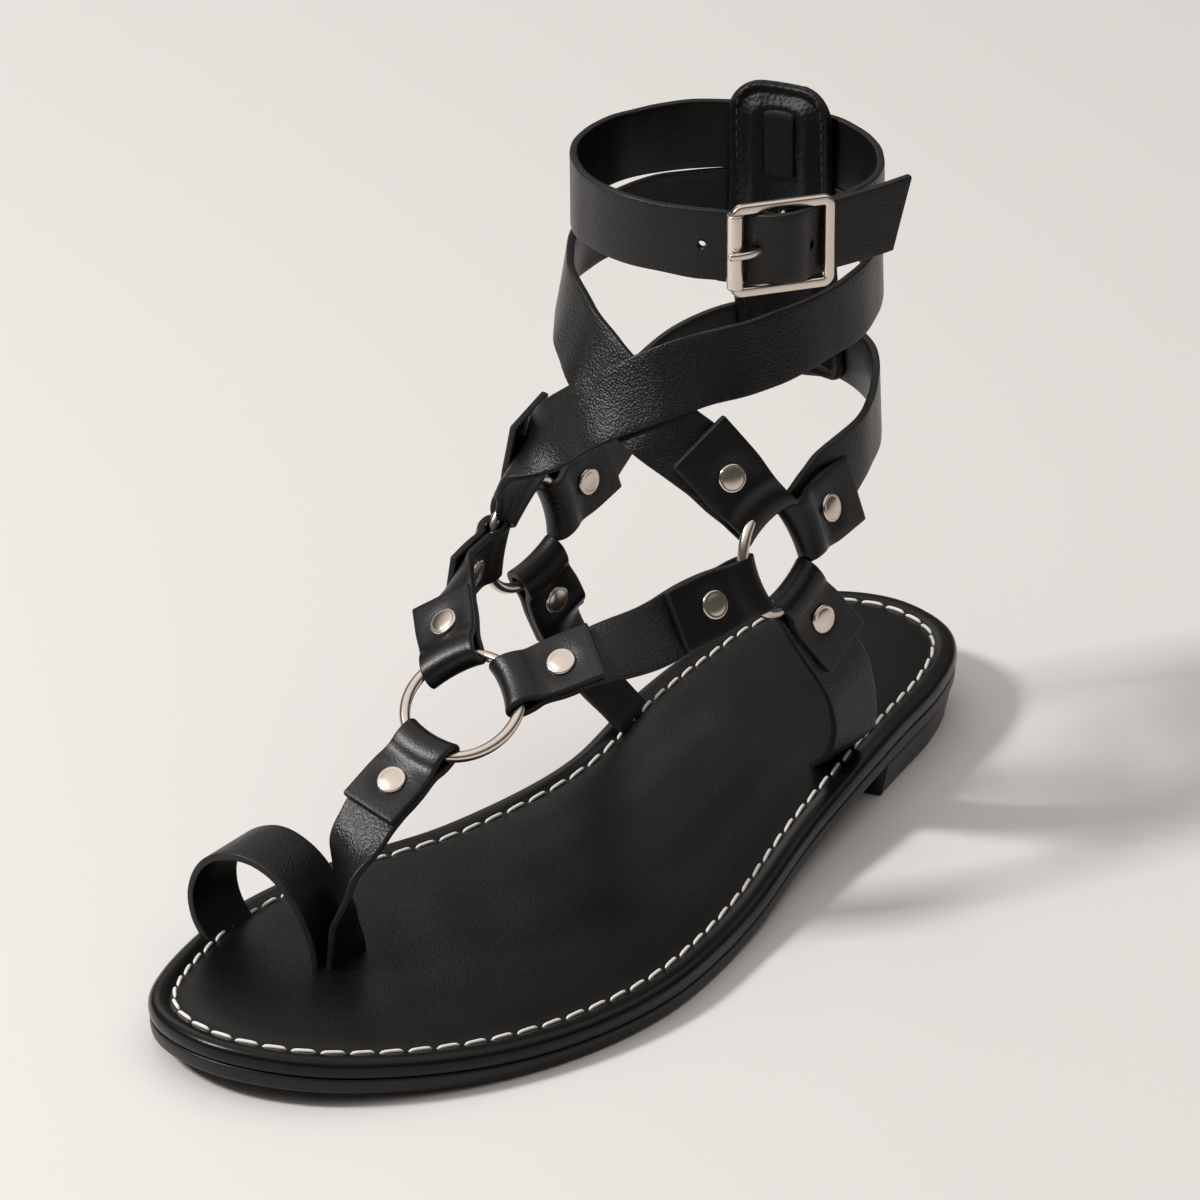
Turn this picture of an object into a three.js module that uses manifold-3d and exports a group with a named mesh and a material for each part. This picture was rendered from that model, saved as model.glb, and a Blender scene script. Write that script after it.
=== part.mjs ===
// Gladiator sandal, left foot: flat stitched sole, leather straps joined by rings and rivets,
// an ankle strap with a roller buckle and a padded heel tab.
// Millimetres. The toe points to -Y, the outer (lateral) side to +X, and +Z is up.
// The origin is the middle of the heel's ground face.
import * as THREE from 'three';
import { mergeVertices } from 'three/addons/utils/BufferGeometryUtils.js';
import Module from 'manifold-3d';

const wasm = await Module();
wasm.setup();

// ---- driving dimensions -------------------------------------------------------------------
const GAP = 0.3;                      // clearance between neighbouring pieces
const HEEL_END = 27;                  // y of the stitch line's rear end
const OUTSOLE = 3.7;                  // outsole thickness
const FOOTBED = 4;                    // footbed thickness at its rim
const FOOTBED_CROWN = 0.7;            // how far the padded middle stands above the rim
const HEEL_RISE = 8;                  // height of the heel block
const BREAST_Y = -28.4;               // front face of the heel block
const LEATHER = 1.7;                  // strap thickness
const SKIVED = 1;                     // thinned leather folded round the buckle's bar
const STRAP = 15.5;                   // width of the wrap, back and toe straps
const NARROW = 14;                    // width of the instep, down and toe post straps
const FOLD = 12;                      // strap width where it is gathered round a ring
const FLAP = 30.5;                    // ring centre to the cut end of a folded strap
const RIVET_AT = 22.5;                // ring centre to the rivet
const PINCH = 17;                     // ring centre to where the two layers close up
const RING = { radius: 12.5, wire: 1.2 };
const RIVET = { cap: 3.2, dome: 1.2, shank: 1.3 };
const FLAT = 4;                       // how far past its rivet a folded pair stays straight
const FLAP_STEP = 2.5;                // section spacing along a flap
const STRAP_STEP = 4.4;               // section spacing along a strap
const LAYER = LEATHER / 2 + 0.1;      // middle of one layer from the middle of a folded pair
const BUCKLE = { width: 24, height: 22, bar: 1.1, corner: 3, roller: 1.75, angle: 53, lift: 3.4 };
const ANKLE_STRAP = { height: 141.2, width: 15.6, drop: 1 };
const PRONG = { width: 1.5, depth: 1.3, eye: 0.9 };
const TAB = { angle: 190, halfWidth: 12.8, bottom: 84, top: 154, thickness: 3, edge: 1.3,
  corner: 9 };
const STAY = { half: 5, thickness: 1.2 };

const LEATHER_BLACK = { color: 0x17171a, roughness: 0.55, metalness: 0 };
const SOLE_BLACK = { color: 0x141416, roughness: 0.4, metalness: 0 };
const NICKEL = { color: 0xcfc6bc, roughness: 0.18, metalness: 1 };

// ---- small helpers ------------------------------------------------------------------------
const vec = (x, y, z) => new THREE.Vector3(x, y, z);
const mix = (a, b, t) => a + (b - a) * t;
const smooth = t => t * t * (3 - 2 * t);
const clamp01 = t => Math.min(1, Math.max(0, t));

// Value of one column of a table at a place along its first column, eased between the rows.
function column(rows, key, name, place) {
  const last = rows.length - 1;
  const rising = rows[last][key] > rows[0][key];
  for (let i = 0; i < last; i++) {
    const a = rows[i];
    const b = rows[i + 1];
    const inside = rising ? place <= b[key] : place >= b[key];
    if (inside || i === last - 1) {
      return mix(a[name], b[name], clamp01((place - a[key]) / (b[key] - a[key])));
    }
  }
}

// Unit vector that faces an azimuth (0 the toes, 90 the outer side) and rises above level.
function facing(azimuth, rise = 0) {
  const a = THREE.MathUtils.degToRad(azimuth);
  const r = THREE.MathUtils.degToRad(rise);
  return vec(Math.sin(a) * Math.cos(r), -Math.cos(a) * Math.cos(r), Math.sin(r));
}

// Closed geometry from a stack of rings with equal counts, capped by functions that list
// triangles of ring indices. Rings run anticlockwise seen from above, lowest first.
function stack(rings, cap) {
  const count = rings[0].length;
  const position = rings.flat().flatMap(p => [p.x, p.y, p.z]);
  const index = [];
  for (let k = 0; k < rings.length - 1; k++) {
    for (let i = 0; i < count; i++) {
      const j = (i + 1) % count;
      const a = k * count + i;
      const b = k * count + j;
      index.push(a, b, b + count, a, b + count, a + count);
    }
  }
  const top = (rings.length - 1) * count;
  for (const [a, b, c] of cap) {
    index.push(c, b, a);
    index.push(top + a, top + b, top + c);
  }
  return indexed(position, index);
}

function indexed(position, index) {
  const geometry = new THREE.BufferGeometry();
  geometry.setAttribute('position', new THREE.Float32BufferAttribute(position, 3));
  geometry.setIndex(index);
  return geometry;
}

// three.js geometry to a solid and back, for cuts and joins.
function solid(geometry) {
  const bare = geometry.clone();
  bare.deleteAttribute('normal');
  bare.deleteAttribute('uv');
  const merged = mergeVertices(bare, 1e-4);
  return new wasm.Manifold(new wasm.Mesh({
    numProp: 3,
    vertProperties: new Float32Array(merged.attributes.position.array),
    triVerts: new Uint32Array(merged.index.array),
  }));
}

function fromSolid(body) {
  const mesh = body.getMesh();
  return indexed(Array.from(mesh.vertProperties), Array.from(mesh.triVerts));
}

const sandal = new THREE.Group();

function add(name, geometry, finish) {
  const mesh = new THREE.Mesh(geometry, new THREE.MeshStandardMaterial(finish));
  mesh.name = name;
  sandal.add(mesh);
  return mesh;
}

// ---- sole ---------------------------------------------------------------------------------
// The stitch line, 240 mm long: how far each side lies from the heel's middle line.
const STITCH_LINE = [
  { fromHeel: 4, lateral: 9.3, medial: -15.5 },
  { fromHeel: 12, lateral: 16.5, medial: -20.7 },
  { fromHeel: 26, lateral: 21.8, medial: -23.1 },
  { fromHeel: 45, lateral: 25.4, medial: -22.4 },
  { fromHeel: 68, lateral: 29.4, medial: -21 },
  { fromHeel: 98, lateral: 33.8, medial: -18.2 },
  { fromHeel: 130, lateral: 40, medial: -26 },
  { fromHeel: 164, lateral: 43.4, medial: -38.5 },
  { fromHeel: 189, lateral: 38.9, medial: -42.2 },
  { fromHeel: 212, lateral: 28.3, medial: -38.4 },
  { fromHeel: 230, lateral: 13.3, medial: -30.8 },
  { fromHeel: 237, lateral: 2.5, medial: -23 },
];
const HEEL_TIP = { fromHeel: 0, across: -4 };
const TOE_TIP = { fromHeel: 240, across: -10.5 };

// Underside of the outsole: level over the heel block, falling through the arch, level on
// the ground under the ball, rising in the toe spring.
const UNDERSIDE = [
  { y: 40, z: HEEL_RISE },
  { y: -28, z: HEEL_RISE },
  { y: -42, z: 7.4 },
  { y: -60, z: 5.6 },
  { y: -80, z: 2.9 },
  { y: -95, z: 1.1 },
  { y: -110, z: 0 },
  { y: -165, z: 0 },
  { y: -180, z: 0.5 },
  { y: -195, z: 1.6 },
  { y: -210, z: 3.2 },
  { y: -222, z: 4.8 },
];
const underside = y => column(UNDERSIDE, 'y', 'z', y);
const footbedTop = y => underside(y) + OUTSOLE + GAP + FOOTBED;

// The outline runs from the heel along the medial side, round the toe and back along the
// lateral side, anticlockwise from above. Point i faces point count - i across the sole.
const STEPS_PER_ROW = 2;
const outlineCurve = new THREE.CatmullRomCurve3([
  vec(HEEL_TIP.across, HEEL_END - HEEL_TIP.fromHeel, 0),
  ...STITCH_LINE.map(row => vec(row.medial, HEEL_END - row.fromHeel, 0)),
  vec(TOE_TIP.across, HEEL_END - TOE_TIP.fromHeel, 0),
  ...STITCH_LINE.slice().reverse().map(row => vec(row.lateral, HEEL_END - row.fromHeel, 0)),
], true, 'centripetal');
const OUTLINE_COUNT = outlineCurve.points.length * STEPS_PER_ROW;

function outline(margin) {
  const points = [];
  for (let i = 0; i < OUTLINE_COUNT; i++) {
    const tangent = outlineCurve.getTangent(i / OUTLINE_COUNT);
    const outward = vec(tangent.y, -tangent.x, 0);
    points.push(outlineCurve.getPoint(i / OUTLINE_COUNT).addScaledVector(outward, margin));
  }
  return points;
}

const ring = (margin, height) => outline(margin).map(p => p.setZ(height(p.y)));

// Triangles straight across a ring, between the points that face each other.
function ladderCap(count) {
  const half = count / 2;
  const triangles = [[0, 1, count - 1], [half - 1, half, half + 1]];
  for (let i = 1; i < half - 1; i++) {
    triangles.push([i, i + 1, count - i - 1], [i, count - i - 1, count - i]);
  }
  return triangles;
}

// Rounded edge of the outsole and of the footbed: distance outside the stitch line and
// height as a fraction of the thickness, from the underside to the top.
const OUTSOLE_EDGE = [
  { margin: 4.3, level: 0 },
  { margin: 4.9, level: 0.2 },
  { margin: 4.9, level: 0.85 },
  { margin: 4.4, level: 1 },
];
const FOOTBED_EDGE = [
  { margin: 4.6, level: 0 },
  { margin: 5.3, level: 0.25 },
  { margin: 5.2, level: 0.65 },
  { margin: 4.4, level: 0.93 },
  { margin: 3, level: 1 },
  { margin: 0, level: 0.92 },
  { margin: -3, level: 1.08 },
  { margin: -9, level: 1 + FOOTBED_CROWN / FOOTBED },
];

function sole(edge, bottom, thickness) {
  const rings = edge.map(row => ring(row.margin, y => bottom(y) + row.level * thickness));
  return stack(rings, ladderCap(OUTLINE_COUNT));
}

// The heel block is the rear of the outline closed by a straight breast, drawn in a little
// towards the ground.
const HEEL_EDGE = [
  { margin: 2.6, z: 0 },
  { margin: 3.2, z: 0.6 },
  { margin: 4.4, z: HEEL_RISE - GAP },
];

// Where the line between two outline points meets the breast.
const atBreast = (a, b) => a.clone().lerp(b, (BREAST_Y - a.y) / (b.y - a.y));

// Outline points less than 2 mm behind the breast are left out, so that no face is a sliver.
function heelBlock() {
  const rings = HEEL_EDGE.map(({ margin, z }) => {
    const points = outline(margin);
    const medialFront = points.findIndex(p => p.y < BREAST_Y);
    const lateralFront = points.findLastIndex(p => p.y < BREAST_Y);
    const rear = [...points.slice(lateralFront + 1), ...points.slice(0, medialFront)];
    return [
      atBreast(points[lateralFront], points[lateralFront + 1]),
      ...rear.filter(p => p.y > BREAST_Y + 2),
      atBreast(points[medialFront - 1], points[medialFront]),
    ].map(p => p.setZ(z));
  });
  const flat = rings[0].map(p => new THREE.Vector2(p.x, p.y));
  return stack(rings, THREE.ShapeUtils.triangulateShape(flat, []));
}

// ---- leg form -----------------------------------------------------------------------------
// Level sections of the ankle that the straps lie on, as ellipses.
const LEG = [
  { z: 40, x: -2.5, y: -44, halfWidth: 31, halfLength: 48 },
  { z: 62, x: -2.5, y: -45, halfWidth: 30.5, halfLength: 46 },
  { z: 80, x: -2.5, y: -45.5, halfWidth: 30, halfLength: 43.5 },
  { z: 100, x: -3, y: -45, halfWidth: 31, halfLength: 40.5 },
  { z: 118, x: -3.5, y: -41.5, halfWidth: 32.4, halfLength: 34.6 },
  { z: 133, x: -2.8, y: -40.7, halfWidth: 31.4, halfLength: 31.8 },
  { z: 144, x: -2.8, y: -40.7, halfWidth: 31.3, halfLength: 31.3 },
  { z: 170, x: -2.8, y: -40.7, halfWidth: 31.3, halfLength: 31.3 },
];

// Point on the form at an angle from the front (positive to the lateral side) and a height.
function onLeg(angle, z) {
  const a = THREE.MathUtils.degToRad(angle);
  const at = name => column(LEG, 'z', name, z);
  return vec(at('x') + at('halfWidth') * Math.sin(a), at('y') - at('halfLength') * Math.cos(a), z);
}

function legNormal(angle, z) {
  const round = onLeg(angle + 0.5, z).sub(onLeg(angle - 0.5, z));
  const up = onLeg(angle, z + 2).sub(onLeg(angle, z - 2));
  return round.cross(up).normalize();
}

// A station of a strap that lies on the form, with the middle of its leather `lift` outside.
function legStation({ angle, z, lift = 0 }) {
  const out = legNormal(angle, z);
  return { at: onLeg(angle, z).addScaledVector(out, LEATHER / 2 + lift), out };
}

// ---- rings --------------------------------------------------------------------------------
const RINGS = {
  front: { at: vec(-5.5, -135.2, 56), out: facing(10, 56) },
  lateral: { at: vec(28.6, -70.8, 73.8), out: facing(81, 12) },
  medial: { at: vec(-31.4, -74.2, 65), out: facing(-85, 8) },
};

// Unit direction in a ring's plane, in degrees above the level rearward direction.
function ringwise({ out }, degrees) {
  const level = vec(0, 0, 1).cross(out).normalize();
  if (level.y < 0) level.negate();
  const up = vec(0, 0, 1).addScaledVector(out, -out.z).normalize();
  const a = THREE.MathUtils.degToRad(degrees);
  return level.multiplyScalar(Math.cos(a)).addScaledVector(up, Math.sin(a));
}

// The end of a strap at a ring, leaving its centre at an angle in its plane. `flap` and
// `rivet` are measured from the ring's centre; `inward` puts the flap on the inner face.
function ringEnd(name, degrees, { flap = FLAP, rivet = RIVET_AT, inward = false } = {}) {
  const hoop = RINGS[name];
  return { ...hoop, along: ringwise(hoop, degrees), flap, rivet, side: inward ? -1 : 1 };
}

// Strap routes. Heights and angles of straps on the leg form are those of their middle line.
// Straps clear of the form pass through places, facing an azimuth and a rise above level.
const WRAP = [
  { angle: -36, z: 96, lift: 1.1 },
  { angle: -20, z: 100.5, lift: 1.2 },
  { angle: 8, z: 109, lift: 1.2 },
  { angle: 27, z: 114, lift: 1.2 },
  { angle: 50, z: 117.5, lift: 0.6 },
  { angle: 80, z: 121, lift: 0 },
  { angle: 105, z: 122.6, lift: 0 },
  { angle: 130, z: 123.5, lift: 0 },
  { angle: 155, z: 123.8, lift: 0 },
  { angle: 180, z: 123.8, lift: 0 },
  { angle: 210, z: 123.8, lift: 0 },
  { angle: 236, z: 123.8, lift: 0 },
  { angle: 260, z: 123.6, lift: 0 },
  { angle: 285, z: 122.5, lift: 0 },
  { angle: 310, z: 119.5, lift: 0 },
  { angle: 330, z: 116, lift: 0 },
  { angle: 350, z: 111.5, lift: 0 },
  { angle: 370, z: 106, lift: 0 },
  { angle: 386, z: 101.5, lift: 0.6 },
];
const BACK = [
  { angle: 108, z: 86, lift: 0.2 },
  { angle: 135, z: 89.5, lift: 0 },
  { angle: 160, z: 91.5, lift: 0 },
  { angle: 185, z: 92.5, lift: 0 },
  { angle: 210, z: 92, lift: 0 },
  { angle: 232, z: 88.5, lift: 0 },
  { angle: 252, z: 82, lift: 0 },
];
const LATERAL_INSTEP = [
  { x: 20.5, y: -105, z: 66.6, azimuth: 55, rise: 42 },
];
const MEDIAL_INSTEP = [
  { x: -27.8, y: -111, z: 67.4, azimuth: -48, rise: 42 },
];
const LATERAL_DOWN = [
  { x: 35.8, y: -52, z: 42, azimuth: 82, rise: 2 },
  { x: 35.4, y: -47.5, z: 31, azimuth: 84, rise: -6 },
  { x: 33, y: -44.5, z: 21.5, azimuth: 84, rise: -30 },
  { x: 28.6, y: -42.5, z: 16, azimuth: 84, rise: -48 },
  { x: 26.3, y: -41.5, z: 12.2, azimuth: 82, rise: -15 },
];
const MEDIAL_DOWN = [
  { x: -33.5, y: -57.5, z: 34, azimuth: -82, rise: -6 },
  { x: -29.5, y: -53.5, z: 24.5, azimuth: -80, rise: -20 },
  { x: -23.5, y: -51, z: 17.5, azimuth: -80, rise: -42 },
  { x: -20.2, y: -50.2, z: 14, azimuth: -80, rise: -25 },
  { x: -19.6, y: -50, z: 11.6, azimuth: -80, rise: -8 },
];
const TOE_POST = [
  { x: -12, y: -163.5, z: 36, azimuth: -4, rise: 28 },
  { x: -12.5, y: -168.4, z: 27, azimuth: -42, rise: 8 },
  { x: -12, y: -169.5, z: 17, azimuth: -76, rise: 0 },
  { x: -11.8, y: -168.8, z: 9, azimuth: -90, rise: 0 },
  { x: -11.8, y: -168.6, z: 4.6, azimuth: -90, rise: 0 },
];
const LOOP_MIDDLE = { x: -29, z: 13 };
const TOE_LOOP = [
  { x: -14.3, y: -168.8, z: 4.5 },
  { x: -14.3, y: -168.8, z: 9 },
  { x: -15.6, y: -168.8, z: 15 },
  { x: -18.6, y: -169, z: 20.3 },
  { x: -24, y: -169, z: 25.2 },
  { x: -31, y: -169, z: 27.9 },
  { x: -37.6, y: -169, z: 26.8 },
  { x: -42.8, y: -169, z: 22.6 },
  { x: -45.2, y: -169, z: 16 },
  { x: -43.9, y: -169.3, z: 10.8 },
  { x: -41.2, y: -169.6, z: 7.3 },
  { x: -39.6, y: -169.8, z: 4.6 },
];

// ---- straps -------------------------------------------------------------------------------
// A spine is a smooth line through stations, with the direction that the outer face looks.
class Spine {
  constructor(stations) {
    this.line = new THREE.CatmullRomCurve3(stations.map(s => s.at), false, 'centripetal');
    this.out = stations.map(s => s.out);
    this.samples = stations.length * 20;
    this.lengths = this.line.getLengths(this.samples);
    this.length = this.lengths[this.samples];
  }

  // Place, travel direction, outward direction and across direction at a distance.
  frame(distance) {
    const found = this.lengths.findIndex(length => length >= distance);
    const k = found < 0 ? this.samples : Math.max(1, found);
    const [before, after] = [this.lengths[k - 1], this.lengths[k]];
    const t = clamp01((k - 1 + (distance - before) / (after - before)) / this.samples);
    const along = this.line.getTangent(t);
    const station = Math.min(Math.floor(t * (this.out.length - 1)), this.out.length - 2);
    const part = smooth(t * (this.out.length - 1) - station);
    const out = this.out[station].clone().lerp(this.out[station + 1], part);
    out.addScaledVector(along, -out.dot(along)).normalize();
    return { at: this.line.getPoint(t), along, out, across: along.clone().cross(out) };
  }
}

// A closed band through section places: `at` is mid-leather, `across` a unit vector over
// the width and `half` half the width there. `grow` swells it, for cutting its own slot.
function band(places, { thickness = LEATHER, grow = 0 } = {}) {
  const position = [];
  const corners = [[-1, -1], [1, -1], [1, 1], [-1, 1]];
  places.forEach(({ at, across, half, thick = thickness }, i) => {
    const before = places[Math.max(0, i - 1)].at;
    const after = places[Math.min(places.length - 1, i + 1)].at;
    const out = across.clone().cross(after.clone().sub(before)).normalize();
    for (const [side, face] of corners) {
      const p = at.clone().addScaledVector(across, side * (half + grow));
      p.addScaledVector(out, face * (thick / 2 + grow));
      position.push(p.x, p.y, p.z);
    }
  });
  const index = [0, 1, 2, 0, 2, 3];
  for (let i = 0; i < places.length - 1; i++) {
    for (let side = 0; side < 4; side++) {
      const a = i * 4 + side;
      const b = i * 4 + (side + 1) % 4;
      index.push(a, b + 4, b, a, a + 4, b + 4);
    }
  }
  const end = (places.length - 1) * 4;
  index.push(end, end + 2, end + 1, end, end + 3, end + 2);
  return indexed(position, index);
}

// The fold round a ring's wire: distance from the ring's centre along the strap, and out of
// the ring's plane, from the base layer round the nose to the flap.
const FOLD_RADIUS = RING.wire + GAP + LEATHER / 2;
const FOLD_CENTRE = Math.sqrt(RING.radius ** 2 - (FOLD / 2) ** 2);
const SHOULDER = [
  { along: 15.4, out: 1.25 },
  { along: 13.8, out: 2 },
  { along: 12.4, out: FOLD_RADIUS },
];
const NOSE = [-90, -120, -150, -180, -210, -240, -270].map(THREE.MathUtils.degToRad);
const FOLD_PROFILE = [
  ...SHOULDER.map(({ along, out }) => ({ along, out: -out })),
  ...NOSE.map(a => ({
    along: FOLD_CENTRE + FOLD_RADIUS * Math.cos(a), out: FOLD_RADIUS * Math.sin(a),
  })),
  ...SHOULDER.slice().reverse(),
];

// Half the width of a folded strap at a distance from its ring's centre.
const gathered = (width, distance) => mix(FOLD, width, smooth(clamp01((distance - 14) / 7))) / 2;

// Section places of a folded end, from the base layer round the wire to the flap's cut end.
function foldedEnd(spine, end, width, atStart) {
  const { at, out, along, flap, side } = end;
  const across = along.clone().cross(out).multiplyScalar(atStart ? 1 : -1);
  const places = FOLD_PROFILE.map(row => ({
    at: at.clone().addScaledVector(along, row.along).addScaledVector(out, row.out * side),
    across, half: gathered(width, row.along),
  }));
  const steps = Math.round((flap - PINCH) / FLAP_STEP);
  for (let i = 0; i <= steps; i++) {
    const distance = (flap - PINCH) * i / steps;
    const frame = spine.frame(atStart ? distance : spine.length - distance);
    places.push({
      at: frame.at.addScaledVector(frame.out, side * LAYER),
      across: frame.across, half: gathered(width, PINCH + distance),
    });
  }
  return places;
}

// How far the base layer of a folded end lies below the middle of the two layers.
function sunk(fold, distance) {
  if (!fold) return 0;
  const beyond = distance - (fold.rivet + FLAT + 1 - PINCH);
  return LAYER * fold.side * (1 - smooth(clamp01(beyond / 14)));
}

// The spine of a strap through stations and its section places. Each end is folded round a
// ring or cut square. `taper` is the width at a square end.
function strap({ stations, start, end, width = STRAP, taper = width }) {
  const lead = ({ at, out, along, rivet }) => [PINCH, rivet + FLAT - 1, rivet + FLAT + 1]
    .map(distance => ({ at: at.clone().addScaledVector(along, distance), out }));
  const spine = new Spine([
    ...(start ? lead(start) : []), ...stations, ...(end ? lead(end).reverse() : []),
  ]);
  const places = start ? foldedEnd(spine, start, width, true).reverse() : [];
  const count = Math.ceil(spine.length / STRAP_STEP);
  for (let i = 0; i <= count; i++) {
    const distance = spine.length * i / count;
    const frame = spine.frame(distance);
    const plain = mix(width, taper, smooth(i / count)) / 2;
    const fromStart = start ? gathered(width, PINCH + distance) : plain;
    const fromEnd = end ? gathered(width, PINCH + spine.length - distance) : plain;
    const depth = sunk(start, distance) + sunk(end, spine.length - distance);
    places.push({
      at: frame.at.addScaledVector(frame.out, -depth),
      across: frame.across, half: Math.min(fromStart, fromEnd, plain),
    });
  }
  if (end) places.push(...foldedEnd(spine, end, width, false));
  return { spine, places, start, end };
}

// ---- rivets -------------------------------------------------------------------------------
// A double cap rivet about the Y axis, its caps just clear of two layers of leather.
function rivetGeometry() {
  const face = LAYER + LEATHER / 2 + GAP;
  const rim = 0.3;
  const half = [[RIVET.shank, face], [RIVET.cap, face], [RIVET.cap, face + rim]];
  const a = THREE.MathUtils.degToRad(42);
  half.push([RIVET.cap * Math.sin(a), face + rim + (RIVET.dome - rim) * Math.cos(a)]);
  half.push([0, face + RIVET.dome]);
  const profile = [...half.slice().reverse().map(([r, y]) => [r, -y]), ...half];
  return new THREE.LatheGeometry(profile.map(([r, y]) => new THREE.Vector2(r, y)), 10);
}

// Moves geometry made about the origin to a frame: X along, Y out, Z across.
function toFrame(geometry, { at, along, out, across }) {
  return geometry.applyMatrix4(new THREE.Matrix4().makeBasis(along, out, across).setPosition(at));
}

// Adds a strap's rivets and returns the strap's body with their holes.
function riveted(name, { spine, start, end }, body) {
  const drill = () => new THREE.CylinderGeometry(RIVET.shank + GAP, RIVET.shank + GAP, 12, 10);
  const holes = [];
  if (start) holes.push({ label: end ? '_start' : '', distance: start.rivet - PINCH });
  if (end) holes.push({ label: '_end', distance: spine.length - (end.rivet - PINCH) });
  for (const { label, distance } of holes) {
    const frame = spine.frame(distance);
    body = body.subtract(solid(toFrame(drill(), frame)));
    add(`rivet_${name}${label}`, toFrame(rivetGeometry(), frame), NICKEL);
  }
  return body;
}

function addStrap(name, made) {
  const body = riveted(name, made, solid(band(made.places)));
  add(name, fromSolid(body), LEATHER_BLACK);
  return made;
}

const free = ({ x, y, z, azimuth, rise }) => ({ at: vec(x, y, z), out: facing(azimuth, rise) });

addStrap('instep_strap_lateral', strap({
  width: NARROW,
  start: ringEnd('front', 38),
  end: ringEnd('lateral', 191, { rivet: 20.5, flap: 28.5 }),
  stations: LATERAL_INSTEP.map(free),
}));
addStrap('instep_strap_medial', strap({
  width: NARROW,
  start: ringEnd('front', 122, { rivet: 21.5, flap: 29 }),
  end: ringEnd('medial', 181, { rivet: 21.5, flap: 29 }),
  stations: MEDIAL_INSTEP.map(free),
}));
addStrap('back_strap', strap({
  start: ringEnd('lateral', 22, { rivet: 19.5, flap: 27.5 }),
  end: ringEnd('medial', 20, { rivet: 19.5, flap: 27.5, inward: true }),
  stations: BACK.map(legStation),
}));
const lateralDown = addStrap('down_strap_lateral', strap({
  width: NARROW, taper: 19,
  start: ringEnd('lateral', -57, { rivet: 19.5, flap: 28 }),
  stations: LATERAL_DOWN.map(free),
}));
const medialDown = addStrap('down_strap_medial', strap({
  width: NARROW, taper: 20,
  start: ringEnd('medial', -60, { rivet: 21, flap: 29.5 }),
  stations: MEDIAL_DOWN.map(free),
}));
const toePost = addStrap('toe_post_strap', strap({
  width: NARROW, taper: 12.5,
  start: ringEnd('front', 250),
  stations: TOE_POST.map(free),
}));
const toeLoop = addStrap('toe_loop', strap({
  stations: TOE_LOOP.map(s => ({
    at: vec(s.x, s.y, s.z), out: vec(s.x - LOOP_MIDDLE.x, 0, s.z - LOOP_MIDDLE.z).normalize(),
  })),
}));

// The wrap strap runs from the medial ring up over the instep and the lateral ankle, behind
// the heel tab, and down over the instep to the lateral ring, under itself where it crosses.
// The two crossing lengths are one leather, joined there.
const wrap = strap({
  start: ringEnd('medial', 98),
  end: ringEnd('lateral', 115, { rivet: 24, flap: 33 }),
  stations: WRAP.map(legStation),
});
const turn = Math.floor(wrap.places.length / 2);
const rising = solid(band(wrap.places.slice(0, turn + 2)));
const falling = solid(band(wrap.places.slice(turn)));
add('wrap_strap', fromSolid(riveted('wrap_strap', wrap, rising.add(falling))), LEATHER_BLACK);

for (const [name, { at, out }] of Object.entries(RINGS)) {
  const torus = new THREE.TorusGeometry(RING.radius, RING.wire, 8, 28);
  const turned = new THREE.Quaternion().setFromUnitVectors(vec(0, 0, 1), out);
  add(`${name}_ring`, torus.applyQuaternion(turned).translate(...at.toArray()), NICKEL);
}

// ---- sole pieces --------------------------------------------------------------------------
add('outsole', sole(OUTSOLE_EDGE, underside, OUTSOLE), SOLE_BLACK);
add('heel_block', heelBlock(), SOLE_BLACK);
const footbedBottom = y => underside(y) + OUTSOLE + GAP;
let footbed = solid(sole(FOOTBED_EDGE, footbedBottom, FOOTBED));
for (const { places } of [lateralDown, medialDown, toePost]) {
  footbed = footbed.subtract(solid(band(places.slice(-5), { grow: GAP })));
}
footbed = footbed.subtract(solid(band(toeLoop.places.slice(-5), { grow: GAP })));
footbed = footbed.subtract(solid(band(toeLoop.places.slice(0, 5), { grow: GAP })));
add('footbed', fromSolid(footbed), LEATHER_BLACK);

// ---- ankle strap and buckle ---------------------------------------------------------------
// The buckle's frame stands level outside the form. Its own directions are e, along the
// strap from front to rear, n outwards, and Z up.
const ankleHeight = angle => ANKLE_STRAP.height
  + ANKLE_STRAP.drop * Math.cos(THREE.MathUtils.degToRad(angle));
const buckleHeight = ankleHeight(BUCKLE.angle);
const buckleOut = legNormal(BUCKLE.angle, buckleHeight).setZ(0).normalize();
const buckleAlong = vec(0, 0, 1).cross(buckleOut);
const buckleAt = onLeg(BUCKLE.angle, buckleHeight).addScaledVector(buckleOut, BUCKLE.lift);
const atBuckle = (e, n, rise = 0) => buckleAt.clone()
  .addScaledVector(buckleAlong, e).addScaledVector(buckleOut, n).add(vec(0, 0, rise));

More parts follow.
